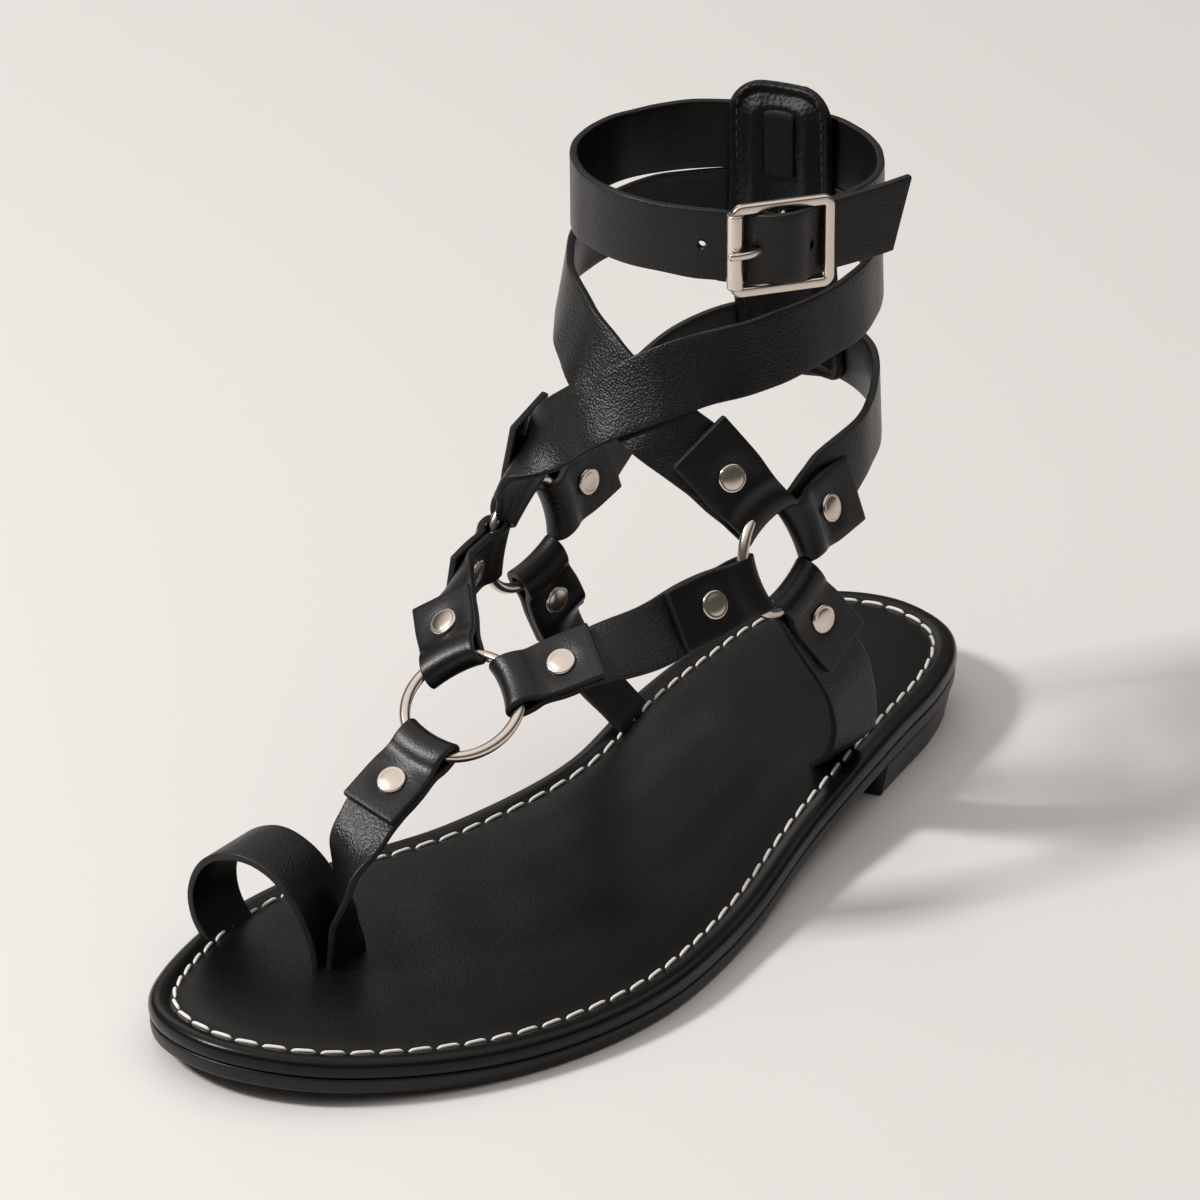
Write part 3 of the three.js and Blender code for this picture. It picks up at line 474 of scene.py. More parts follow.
def ring_end(ring, pull, at=None, faces=None, bend=0.0, rivet=11.2, flap=19.2, inward=False):
    """A strap's end at a ring, with distances measured from the wire.

    `at` is the angle where the strap crosses the wire and `pull` the flap's direction; the
    inner layer leaves at pull + bend. `faces` is the flap's facing, or else the ring's.
    `arc` is the wire as seen by the fold: a table of places across and along the strap."""
    middle, out = RINGS[ring]
    level, rising = ring_plane(out)
    near = np.radians((pull if at is None else at) + np.linspace(-60, 60, 61))[:, None]
    wire_arc = middle + RING_RADIUS * (level * np.cos(near) + rising * np.sin(near))
    wire = middle + (wire_arc[len(near) // 2] - middle) * FOLD_MIDDLE / RING_RADIUS
    out = out if faces is None else facing(*faces)
    level, rising = ring_plane(out)
    turn = np.radians([[pull], [pull + bend]])
    along, inner = level * np.cos(turn) + rising * np.sin(turn)
    across = np.cross(along, out)
    arc = np.column_stack([(wire_arc - wire) @ across, (wire_arc - wire) @ along])
    return dict(wire=wire, out=out, along=along, inner=inner, across=across, flap=flap,
                rivet=rivet, side=-1 if inward else 1, arc=arc[np.argsort(arc[:, 0])])


def gathered(width, distance):
    """Half width: drawn in by a tenth at the ring, full 11 mm from its wire."""
    return width * (0.9 + 0.1 * ease((distance - 2) / 9)) / 2


# %% Spines and their frames
def spine_of(stations):
    """Columns at, out along a spline through stations; out is eased from each to the next."""
    line = spline([at for at, _ in stations], 20)
    place = np.linspace(0, len(stations) - 1, len(line))
    before = np.minimum(place.astype(int), len(stations) - 2)
    part = ease(place - before)[:, None]
    outs = np.array([out for _, out in stations])
    return np.hstack([line, outs[before] * (1 - part) + outs[before + 1] * part])


def frames(spine, distance):
    """Place, along, out and across of a spine at distances, made square to each other."""
    here = at_distance(spine, distance)
    ahead = at_distance(spine, distance + 0.6)[:, :3] - at_distance(spine, distance - 0.6)[:, :3]
    along = unit(ahead)
    out = here[:, 3:6]
    out = unit(out - along * np.sum(out * along, 1, keepdims=True))
    return here[:, :3], along, out, np.cross(along, out)


# %% Folded ends and whole paths
def sunk(end, distance):
    """How far the inner layer lies under the middle of the two layers of a folded end."""
    if end is None:
        return np.zeros_like(distance)
    beyond = distance - (end["rivet"] + FLAT + 1 - PINCH)
    return LAYER * end["side"] * (1 - ease(beyond / RISE))


def folded_end(end, width, at_start):
    """Path from the inner layer round the ring's wire and along the flap to its cut end."""
    a = np.radians(np.arange(-90, -271, -20))
    beyond = np.r_[4.6, 3.1, 1.7, FOLD_RADIUS * np.cos(a), 1.7, 3.1, 4.6]
    raised = np.r_[-1.25, -2.0, -FOLD_RADIUS, FOLD_RADIUS * np.sin(a), FOLD_RADIUS, 2.0, 1.25]
    share = ease(np.linspace(0, 1, len(beyond)))[:, None]
    along = unit(end["inner"] * (1 - share) + end["along"] * share)
    distance = np.linspace(PINCH, end["flap"], 6)
    place = np.vstack([along * beyond[:, None], end["along"] * distance[:, None]])
    height = np.r_[raised, np.full(6, LAYER)] * end["side"]
    across = np.cross(np.vstack([along, np.tile(end["along"], (6, 1))]), end["out"])
    half = gathered(width, np.r_[beyond, distance])
    return np.hstack([end["wire"] + place + height[:, None] * end["out"],
                      across if at_start else -across, half[:, None]])


def lead_in(end):
    """Stations on a folded end's straight part, from the pinch to past the rivet."""
    if end is None:
        return []
    return [(end["wire"] + end["inner"] * distance, end["out"])
            for distance in (PINCH, end["rivet"] + FLAT - 1, end["rivet"] + FLAT + 1)]


def strap_path(stations, start=None, end=None, width=STRAP, taper=None):
    """Columns at, across and half width of a strap's middle line; `taper` is its last width."""
    taper = taper or width
    spine = spine_of(lead_in(start) + stations + lead_in(end)[::-1])
    length = run_length(spine)[-1]
    distance = np.linspace(0, length, int(np.ceil(length / 3)) + 1)
    at, _, out, across = frames(spine, distance)
    half = (width + (taper - width) * ease(distance / length)) / 2
    if start:
        half = np.minimum(half, gathered(width, PINCH + distance))
    if end:
        half = np.minimum(half, gathered(width, PINCH + length - distance))
    at = at - out * (sunk(start, distance) + sunk(end, length - distance))[:, None]
    path = [np.hstack([at, across, half[:, None]])]
    if start:
        path.insert(0, folded_end(start, width, True)[::-1])
    if end:
        path.append(folded_end(end, width, False))
    return np.vstack(path)


# %% [markdown]
# The leather's section is a flat rectangle with small rounded corners. It is carried along
# the path with the strap's own width, and closed by rounded ends. A rivet squeezes both
# layers, so points near it move towards the middle plane: a shallow dimple shows round
# each cap. A slow random waviness keeps long straps from looking like sheet metal.

# %% The leather's section
CORNER = 0.42  # radius of the leather's rounded corners and ends
ROW_STEP = 0.8  # between rows of points along a strap
ROUNDING = np.array([0, 0.06, 0.18, 0.36, 0.62, 1.0]) * CORNER  # the first and last rows
SECTION_FLAT = np.linspace(-1, 1, 11)
QUARTER = np.radians([0, 22.5, 45, 67.5, 90])


def section_table():
    """Columns: side (-1 to 1), face (-1 or 1), and the corner's two offsets in radii."""
    rows = [(s, 1, 0, 1) for s in SECTION_FLAT[1:-1]]
    rows += [(1, 1, np.sin(a), np.cos(a)) for a in QUARTER]
    rows += [(1, -1, np.cos(a), -np.sin(a)) for a in QUARTER]
    rows += [(s, -1, 0, -1) for s in SECTION_FLAT[-2:0:-1]]
    rows += [(-1, -1, -np.sin(a), -np.cos(a)) for a in QUARTER]
    rows += [(-1, 1, -np.cos(a), np.sin(a)) for a in QUARTER]
    return np.array(rows)


SECTION = section_table()
ON_EDGE = (np.abs(SECTION[:, 2]) > 0.6).astype(float)
ON_BACK = (SECTION[:, 1] < 0).astype(float)


# %% Waviness, folds and dimples
def waves(seed, distance, lengths=(31.0, 17.0, 9.0), size=0.10):
    """A sum of sines with random starts, longest strongest."""
    random = np.random.default_rng(seed)
    starts = random.uniform(0, 2 * np.pi, len(lengths))
    return sum(size * w / lengths[0] * np.sin(2 * np.pi * distance / w + s)
               for w, s in zip(lengths, starts))


def follow_wire(points, end):
    """Moves the fold half way onto the ring's curved wire, fading out 9 mm past it.

    Only points within 4.5 mm of the fold's plane and 13 mm of its middle move."""
    v = points - end["wire"]
    along, across, height = v @ end["along"], v @ end["across"], v @ end["out"]
    near = ease((9 - along) / 7) * (np.abs(height) < 4.5) * (np.linalg.norm(v, axis=-1) < 13)
    shift = 0.5 * np.interp(across, *end["arc"].T) * near
    return points + shift[..., None] * end["along"]


def squeeze(points, ends, share=0.24, reach=3.9):
    """Moves points near a rivet's axis towards its middle plane by a share of their height.

    Points more than 3.2 mm from the middle plane are no part of the riveted layers."""
    for end in ends:
        out = end["out"]
        v = points - end["wire"] - end["along"] * end["rivet"]
        height = v @ out
        aside = np.linalg.norm(v - height[..., None] * out, axis=-1)
        near = np.exp(-(aside / reach)**4) * (np.abs(height) < 3.2)
        points = points - (near * height * share)[..., None] * out
    return points


# %% The strap's surface
def leather_surface(path, seed, ends=(), slant=0.0):
    """The section swept along the path; returns a (rows, columns, 3) grid.

    Half width and half thickness shrink over the last corner radius of each end, as a
    quarter circle does. An eighth column of the path is the thickness. `slant` shears the
    last 9 mm."""
    line = spline(path, 8)
    length = run_length(line)[-1]
    middle = np.linspace(CORNER, length - CORNER, int(length / ROW_STEP))[1:-1]
    distance = np.r_[ROUNDING, middle, length - ROUNDING[::-1]]
    rows = at_distance(line, distance)
    at, across, half = rows[:, :3], unit(rows[:, 3:6]), rows[:, 6]
    half_thick = (rows[:, 7] if rows.shape[1] > 7 else np.full(len(rows), LEATHER)) / 2
    along = unit(np.gradient(at, distance, axis=0))
    across = unit(across - along * np.sum(across * along, 1, keepdims=True))
    out = np.cross(across, along)
    from_end = np.minimum(distance, length - distance)
    inset = CORNER - np.sqrt(np.maximum(CORNER**2 - np.maximum(CORNER - from_end, 0)**2, 0))
    calm = ease(from_end / 25)
    at = at + out * (waves(seed, distance) * calm)[:, None]
    half = half + waves(seed + 1, distance, lengths=(23.0, 11.0), size=0.05) * calm
    side, face, aside, raised = SECTION.T
    wide = side * (half - inset - CORNER)[:, None] + aside * CORNER
    thick = (half_thick - inset)[:, None]
    corner = np.minimum(CORNER, thick)
    twist = (waves(seed + 2, distance, lengths=(37.0, 19.0), size=0.018) * calm)[:, None]
    high = face * (thick - corner) + raised * corner + twist * wide
    grid = at[:, None] + across[:, None] * wide[..., None] + out[:, None] * high[..., None]
    if slant:
        pull = slant * ease((distance - length + 9) / 9)[:, None] * side
        grid = grid + along[:, None] * pull[..., None]
    for end in ends:
        grid = follow_wire(grid, end)
    return squeeze(grid, ends)


def strap_values(grid):
    """The edge and lining values of a strap's points, cap middles last."""
    rows = grid.shape[0]
    edge = np.tile(ON_EDGE, (rows, 1))
    cut = len(ROUNDING) - 1
    edge[:cut] = 1
    edge[-cut:] = 1
    return {"edge": np.r_[edge.ravel(), 1, 1], "lining": np.r_[np.tile(ON_BACK, rows), 0, 0]}


def leather_strap(name, path, stands_for, seed, material=STRAP_LEATHER, **shape):
    """A finished strap piece from its path."""
    grid = leather_surface(path, seed, **shape)
    points, faces = capped(grid)
    return piece_from(name, points, faces, material, "strap_leather", stands_for,
                      strap_values(grid))


# %% [markdown]
# Each strap is now a short list of stations between its two ends. The instep straps join
# the front ring to the side rings; the down straps run from the side rings through the
# footbed; the toe post runs from the front ring into the footbed beside the toe loop. The
# back strap joins the side rings behind the heel.


# %% Instep, down, toe post and back straps
def station(x, y, z, azimuth, rise):
    """A place with the direction its leather faces."""
    return np.array([x, y, z], float), facing(azimuth, rise)


def leg_station(angle, z, lift=0.0):
    """A place on the leg form, with the middle of the leather `lift` clear of it."""
    out = leg_out(float(angle), float(z))
    return on_leg(float(angle), float(z)) + out * (LEATHER / 2 + lift), out


RIVETS = []


def lay_strap(name, seed, start=None, end=None, **route):
    """Works out a strap's path, makes it and notes its rivets."""
    path = strap_path(start=start, end=end, **route)
    ends = [e for e in (start, end) if e]
    RIVETS.extend((e["wire"] + e["along"] * e["rivet"], e["out"]) for e in ends)
    return leather_strap(f"{name}_leather", path, [name], seed, ends=ends)


lay_strap("instep_strap_lateral", 11, width=NARROW, start=ring_end("front", 38),
          end=ring_end("lateral", 189, at=194, faces=(68, 22), rivet=10.3, flap=20.2),
          stations=[station(20.5, -105, 66.6, 55, 42)])
lay_strap("instep_strap_medial", 12, width=NARROW,
          start=ring_end("front", 37, at=122, faces=(-18, 50), rivet=10.2, flap=17.7),
          end=ring_end("medial", 184, at=176, faces=(-80, 10), rivet=10.6, flap=18.3),
          stations=[station(-26.5, -110, 68.5, -50, 38)])
lay_strap("down_strap_lateral", 13, width=NARROW, taper=19,
          start=ring_end("lateral", -54, at=-61, faces=(78, 9), bend=-7, rivet=10.3, flap=21),
          stations=[station(35.8, -52, 42, 82, 2), station(35.4, -47.5, 31, 84, -6),
                    station(32.4, -44.5, 21.5, 86, -32), station(27.2, -42.5, 16, 88, -52),
                    station(24.8, -41.5, 12.2, 84, -15)])
lay_strap("down_strap_medial", 14, width=NARROW, taper=20,
          start=ring_end("medial", -64, at=-60, faces=(-104, 2), rivet=10.2, flap=18.7),
          stations=[station(-33.5, -57.5, 34, -82, -6), station(-29.5, -53.5, 24.5, -80, -20),
                    station(-23.5, -51, 17.5, -80, -42), station(-20.2, -50.2, 14, -80, -25),
                    station(-19.6, -50, 11.6, -80, -8)])
lay_strap("toe_post_strap", 15, width=NARROW, taper=12.5, start=ring_end("front", 250),
          stations=[station(-12, -163.5, 36, -4, 28), station(-12.5, -168.4, 27, -42, 8),
                    station(-12, -169.5, 17, -76, 0), station(-11.8, -168.8, 9, -90, 0),
                    station(-11.8, -168.6, 4.6, -90, 0)])
lay_strap("back_strap", 16,
          start=ring_end("lateral", 6, at=10, faces=(89, 16), bend=14, rivet=9.7, flap=19.9),
          end=ring_end("medial", 18, at=14, faces=(-98, -4), rivet=9.6, flap=18.2, inward=True),
          stations=[leg_station(112, 87, 0.2), leg_station(135, 90), leg_station(160, 91.5),
                    leg_station(185, 92.5), leg_station(210, 92), leg_station(232, 88.5),
                    leg_station(252, 82)])

# %% [markdown]
# The wrap strap starts at the medial ring, crosses the front of the ankle, goes once round
# behind and crosses itself in front on its way to the lateral ring. Its stations are angles
# and heights on the leg form. The first few are lifted, because there it lies on top of its
# own last part.

# %% Wrap strap
WRAP = [
    # angle, height, lift
    (-20, 98, 2.2), (-6, 103.4, 1.5), (10, 109, 1.2), (27, 114, 1.2), (50, 117.5, 0.6),
    (80, 121, 0), (105, 122.8, 0), (130, 124.1, 0), (155, 124.5, 0), (180, 124.6, 0),
    (210, 124.6, 0), (236, 124.3, 0), (260, 123.6, 0), (285, 122.5, 0), (310, 119.5, 0),
    (330, 116, 0), (350, 111.5, 0), (368, 106.5, 0), (380, 103, 0.6),
]
lay_strap("wrap_strap", 17,
          start=ring_end("medial", 99, at=104, faces=(-80, 14), bend=31, rivet=11.0, flap=22.5),
          end=ring_end("lateral", 126, at=106, faces=(57, 15), bend=5, rivet=10.7, flap=21.8),
          stations=[leg_station(*row) for row in WRAP])

# %% [markdown]
# The toe loop holds the big toe. It is an open arch of leather whose two ends go down
# into the footbed, so it needs no ring and no rivet. Its leather faces away from the middle
# of the toe.

# %% Toe loop
LOOP_MIDDLE = np.array([-29.0, 0, 13.0])
TOE_LOOP = np.array([
    # x, y, height
    [-14.3, -168.8, 4.5], [-14.4, -168.8, 9.4], [-15.8, -168.8, 16], [-18.9, -169, 21.8],
    [-24.2, -169, 26.9], [-31.2, -169, 29.8], [-38.2, -169, 28.7], [-44.2, -169, 24.0],
    [-46.4, -169, 17], [-44.9, -169.3, 11.2], [-41.8, -169.6, 7.3], [-39.8, -169.8, 4.6],
])
lay_strap("toe_loop", 18, stations=[(p, unit((p - LOOP_MIDDLE) * [1, 0, 1])) for p in TOE_LOOP])

# %% [markdown]
# ## Rivets
#
# A double cap rivet is a turned shape: two low domes with a soft rim, joined by a shank.
# One profile is turned about each rivet's axis and all of them become one piece.

# %% Rivets
CAP = np.array([
    # radius, height above the middle plane
    [0, 2.42], [0.9, 2.40], [1.7, 2.33], [2.2, 2.24], [2.45, 2.17], [2.6, 2.18], [2.8, 2.2],
    [3.0, 2.12], [3.15, 1.9], [3.2, 1.62], [3.12, 1.38], [2.9, 1.3], [1.3, 1.3],
])


def rivet(middle, out, sides=32):
    """The cap's profile and its mirror image turned about the rivet's axis.

    The turn may start anywhere, so any direction that isn't along the axis will do."""
    profile = np.vstack([CAP, CAP[::-1] * [1, -1]])[1:-1]
    a = np.linspace(0, 2 * np.pi, sides, endpoint=False)
    side = unit(np.cross(out, [0.3, 0.2, 1.0]))
    spoke = np.cos(a)[:, None] * side + np.sin(a)[:, None] * np.cross(out, side)
    grid = middle + profile[:, None, :1] * spoke[None] + profile[:, None, 1:] * out
    points, faces = capped(grid[::-1])
    points[-1] = middle + out * CAP[0, 1]
    points[-2] = middle - out * CAP[0, 1]
    return points, faces


points, faces = many([rivet(*r) for r in RIVETS])
piece_from("double_cap_rivets", points, faces, NICKEL, "nickel",
           [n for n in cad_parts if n.startswith("rivet_")])

# %% [markdown]
# ## The sole's outline
#
# The white stitch line is the sole's clearest line, so everything is measured from it: the
# outsole and footbed are the same outline moved outwards by their margins. Point i of the
# outline faces point n - i across the sole, so rows can run from the edge to the middle
# line and meet there.

# %% Outline and underside
HEEL_END = 27.0
STITCH_LINE = np.array([
    # from the heel's end, lateral edge, medial edge
    [4, 9.3, -15.5], [12, 16.5, -20.7], [26, 21.8, -23.1], [45, 25.4, -22.4],
    [68, 29.4, -21], [98, 33.8, -18.2], [130, 40, -26], [164, 43.4, -38.5],
    [189, 38.9, -42.2], [212, 28.3, -38.4], [230, 13.3, -30.8], [237, 2.5, -23],
])
HEEL_TIP = (-4.0, 0.0)
TOE_TIP = (-10.5, 240.0)
medial = STITCH_LINE[:, [2, 0]]
lateral = STITCH_LINE[::-1, [1, 0]]
corners = np.vstack([HEEL_TIP, medial, TOE_TIP, lateral])
corners = np.column_stack([corners[:, 0], HEEL_END - corners[:, 1], np.zeros(len(corners))])
OUTLINE = spline(corners, 16, closed=True)
OUTLINE_RUN = unit(np.roll(OUTLINE, -1, 0) - np.roll(OUTLINE, 1, 0))
OUTLINE_OUT = np.column_stack([OUTLINE_RUN[:, 1], -OUTLINE_RUN[:, 0], np.zeros(len(OUTLINE))])

UNDERSIDE = np.array([
    # y, height of the outsole's underside
    [-222, 4.8], [-210, 3.2], [-195, 1.6], [-180, 0.5], [-165, 0], [-110, 0], [-95, 1.1],
    [-80, 2.9], [-60, 5.6], [-42, 7.4], [-28, 8], [40, 8],
])
LEVEL_Y = np.arange(-222, 40, 0.5)
SOFT_STEPS = 16
WINDOW = np.hanning(2 * SOFT_STEPS + 1)
LEVEL = np.convolve(np.pad(np.interp(LEVEL_Y, *UNDERSIDE.T), SOFT_STEPS, "edge"),
                    WINDOW / WINDOW.sum(), "valid")


def underside(y):
    """Height of the outsole's underside, its bends softened over 16 mm."""
    return np.interp(y, LEVEL_Y, LEVEL)


def outline(margin):
    """The stitch line moved outwards by a margin."""
    return OUTLINE + OUTLINE_OUT * margin


print("stitch line:", round(run_length(np.vstack([OUTLINE, OUTLINE[:1]]))[-1]), "mm")


# %% Sole surfaces
BELOW_ROWS = 5  # rows of points from the edge of an underside to its middle line


def weld(points, faces):
    """Makes coinciding points one and drops the corners and faces that this collapses.

    Also returns which of the points were kept."""
    _, first, where = np.unique(np.round(points, 3), axis=0, return_index=True,
                                return_inverse=True)
    where = where.ravel()
    joined = [list(dict.fromkeys(where[face])) for face in faces]
    return points[first], [face for face in joined if len(face) > 2], first


def across_rows(edge, count, height):
    """Rows from an edge ring to its middle line, p = edge (1 - t) + middle t.

    `height` also gets how far in a point is: ease(1.6 t), and less where the sole is
    narrower than 40 mm, so that the padding thins out towards both ends."""
    facing_edge = edge[(-np.arange(len(edge))) % len(edge)]
    middle = (edge + facing_edge) / 2
    t = (np.arange(1, count + 1) / count)[:, None, None]
    rows = edge * (1 - t) + middle * t
    reach = ease(np.linalg.norm(edge - middle, axis=1) / 20)
    rows[..., 2] = height(rows[..., 0], rows[..., 1], ease(1.6 * t[..., 0]) * reach)
    return rows


def sole_layer(rim, low, top, rows):
    """Grid from the middle of the underside, round the rim and to the middle of the top.

    `rim` lists margin and height above `low`; `top` gives the height inside the rim."""
    rim = np.asarray(rim, float)
    ring_rows = []
    for margin, height in rim:
        ring = outline(margin)
        ring[:, 2] = low(ring[:, 1]) + height
        ring_rows.append(ring)

    def flat_bottom(x, y, inner):
        """The underside, level with the rim's first row."""
        return low(y) + rim[0, 1]

    below = across_rows(ring_rows[0], BELOW_ROWS, flat_bottom)[::-1]
    above = across_rows(ring_rows[-1], rows, top)
    return np.concatenate([below, np.array(ring_rows), above])


def sole_piece(name, grid, material, slot, stands_for, values=None):
    """Welds the middle seams of a sole grid and makes the piece."""
    points, faces, kept = weld(grid.reshape(-1, 3), grid_faces(*grid.shape[:2]))
    values = {key: column[kept] for key, column in (values or {}).items()}
    return piece_from(name, points, faces, material, slot, stands_for, values)


# %% [markdown]
# The footbed is a padded insole: a glossy rounded rim, a groove that the stitches pull in,
# and a soft raised middle with a shallow cup for the heel. Small uneven waves stop the
# leather from reading as a flat plate.

# %% Footbed
OUTSOLE = 3.7  # thickness of the outsole
PADDING = 4.68  # height of the footbed's middle above footbed_low
GLOSSY_ROWS = 26  # rows of the rim, up to a millimetre outside the stitches
RIM = spline([
    # margin, height above footbed_low
    (4.0, -0.25, 0), (4.9, -0.1, 0), (5.3, 0.7, 0), (5.4, 2.1, 0), (5.0, 3.2, 0),
    (4.2, 3.8, 0), (3.1, 4.0, 0), (2.0, 3.93, 0), (1.1, 3.72, 0), (0.4, 3.45, 0),
    (-0.4, 3.42, 0), (-1.2, 3.72, 0), (-2.6, 4.15, 0), (-5, 4.48, 0), (-9, PADDING, 0),
], 3)[:, :2]


def footbed_low(y):
    """The level from which the footbed's heights count, 0.3 mm above the outsole."""
    return underside(y) + OUTSOLE + 0.3


def swell(x, y):
    """Slow shape of the padding: a heel cup, a ball hollow, a raised arch, small waves."""
    cup = -0.7 * np.exp(-(((x + 2) / 15)**2 + ((y + 2) / 20)**2))
    ball = -0.5 * np.exp(-(((x - 4) / 24)**2 + ((y + 132) / 26)**2))
    arch = 0.5 * np.exp(-(((x - 4) / 14)**2 + ((y + 62) / 22)**2))
    small = 0.10 * np.sin(x / 5.3 + y / 9.1) * np.sin(y / 7.7 - x / 11)
    smaller = 0.05 * np.sin(y / 4.1 + x / 3.7)
    return cup + ball + arch + (small + smaller)


def footbed_top(x, y, inner):
    """Height inside the rim: the padding, crowned by 0.3 mm, and its slow shape."""
    return footbed_low(y) + PADDING + (0.3 + swell(x, y)) * inner


footbed_grid = sole_layer(RIM, footbed_low, footbed_top, rows=26)
rim_value = np.zeros(footbed_grid.shape[:2])
rim_value[:BELOW_ROWS + GLOSSY_ROWS] = 1
sole_piece("padded_footbed", footbed_grid, FOOTBED_LEATHER, "footbed", ["footbed"],
           {"edge": rim_value.ravel()})

# %% [markdown]
# The outsole is a rubber sheet under the footbed. It is the same kind of layer with a
# plainer rim, so the same function makes it and the two stay parallel everywhere.

# %% Outsole
OUTSOLE_RIM = spline([
    # margin, height above the outsole's underside
    (2.5, 0.0, 0), (4.0, 0.02, 0), (4.7, 0.35, 0), (5.0, 1.1, 0), (5.15, 2.7, 0),
    (5.05, 3.45, 0), (4.6, 3.68, 0), (2.5, OUTSOLE, 0),
], 3)[:, :2]


def outsole_top(x, y, inner):
    """The outsole's flat upper side."""
    return underside(y) + OUTSOLE


outsole_grid = sole_layer(OUTSOLE_RIM, underside, outsole_top, rows=5)
sole_piece("outsole_edge", outsole_grid, SOLE_RUBBER, "sole", ["outsole"])

# %% [markdown]
# The heel is one low block. Its plan is the rear of the sole's outline, closed in front by
# a straight face that shoemakers call the breast. Rings of that plan, wider towards the
# outsole, are stacked and closed above and below.

# %% Heel block
BREAST_Y = -28.4


def heel_ring(margin, across=25):
    """The outline's rear, closed by the heel's straight breast.

    With d the distance behind the breast, y lies (d + sqrt(d^2 + 4)) / 2 behind it, which
    rounds the corners. Along the breast d runs down to -30, so that it comes out straight."""
    ring = outline(margin)
    half = len(ring) // 2
    inner = int(np.argmin(np.abs(ring[:half, 1] - BREAST_Y)))
    outer = half + int(np.argmin(np.abs(ring[half:, 1] - BREAST_Y)))
    rear = np.vstack([ring[outer:], ring[:inner + 1]])
    share = np.linspace(0, 1, across)[1:-1, None]
    breast = ring[inner] * (1 - share) + ring[outer] * share
    past = np.r_[rear[:, 1] - BREAST_Y, -30 * np.sin(np.pi * share[:, 0])]
    ring = np.vstack([rear, breast])
    ring[:, 1] = BREAST_Y + (past + np.sqrt(past**2 + 4)) / 2
    return ring


HEEL_RIM = [
    # margin, height
    (2.2, 0), (2.7, 0.12), (3.0, 0.5), (3.3, 2.2), (3.8, 4.6), (4.3, 7.0), (4.2, 7.6), (3.6, 7.7),
]
heel_rows = [heel_ring(margin) * [1, 1, 0] + [0, 0, height] for margin, height in HEEL_RIM]
points, faces = capped(np.array(heel_rows))
piece_from("heel_lift", points, faces, SOLE_RUBBER, "sole", ["heel_block"])

# %% [markdown]
# ## Stitches
#
# Thick off-white thread runs round the footbed. Each stitch is a short bead: round in
# section, thin at its ends, arched where it lies on the leather and sunk where it enters
# its holes. All of them are one array, with one axis per stitch.


# %% Thread beads
def stitches(line, normals, pitch, length, radius, rise, slant=0.0, sides=8, steps=11):
    """Beads along a closed or open line of points with normals.

    Along each, u runs from -1 to 1: its radius is radius (1 - 0.97 u^6)^(1/2), it stands
    rise (1 - 1.6 u^4) above the line and goes slant u to the side."""
    total = run_length(line)[-1]
    count = int(total / pitch)
    middles = (np.arange(count) + 0.5) * total / count
    u = np.linspace(-1, 1, steps)
    distance = middles[:, None] + u * length / 2
    table = np.hstack([line, normals])
    here = at_distance(table, distance.ravel())
    ahead = at_distance(table, distance.ravel() + 0.3)[:, :3]
    along = unit(ahead - here[:, :3] + 1e-9).reshape(count, steps, 3)
    place = here[:, :3].reshape(count, steps, 3)
    normal = unit(here[:, 3:6]).reshape(count, steps, 3)
    aside = unit(np.cross(normal, along))
    thick = radius * np.sqrt(1 - 0.97 * u**6)[None, :, None, None]
    lift = (rise * (1 - 1.6 * u**4))[None, :, None]
    a = np.linspace(0, 2 * np.pi, sides, endpoint=False)[None, None, :, None]
    middle = place + normal * lift + aside * (slant * u)[None, :, None]
    grid = (middle[:, :, None] + aside[:, :, None] * np.cos(a) * thick
            + normal[:, :, None] * np.sin(a) * thick)
    return many([capped(one) for one in grid])


GROOVE_HEIGHT = 3.5  # of the thread's middle above footbed_low
line = np.vstack([OUTLINE, OUTLINE[:1]])
line[:, 2] = footbed_low(line[:, 1]) + GROOVE_HEIGHT
points, faces = stitches(line, np.tile(UP, (len(line), 1)), pitch=6.05, length=5.2,
                         radius=0.40, rise=0.20, slant=0.2)
piece_from("footbed_stitches", points, faces, OFF_WHITE_THREAD, "footbed", [])

# %% [markdown]
# ## Ankle strap and buckle
#
# The fixed end of the strap is thinned and folded round the buckle's middle bar, back on
# itself. The strap then goes once round the ankle, under the roller, over the middle bar
# and under the far side of the frame. The prong stands through a hole and rests on the
# roller. Directions at the buckle are e along the strap, n outwards, and up.

# %% The buckle's directions
BUCKLE_ANGLE = 53.0
BUCKLE_LIFT = 3.4  # of its middle off the leg form


def ankle_height(angle):
    """The ankle strap's middle height: 1 mm higher in front than at its sides."""
    return 141.2 + np.cos(np.radians(angle))


buckle_z = float(ankle_height(BUCKLE_ANGLE))
BUCKLE_OUT = unit(leg_out(BUCKLE_ANGLE, buckle_z) * [1, 1, 0])
BUCKLE_ALONG = np.cross(UP, BUCKLE_OUT)
BUCKLE_AT = on_leg(BUCKLE_ANGLE, buckle_z) + BUCKLE_OUT * BUCKLE_LIFT


def at_buckle(e, n, rise=0.0):
    """Points from the buckle's own coordinates."""
    e, n, rise = (part[..., None] for part in np.broadcast_arrays(np.asarray(e, float), n, rise))
    return BUCKLE_AT + e * BUCKLE_ALONG + n * BUCKLE_OUT + rise * UP


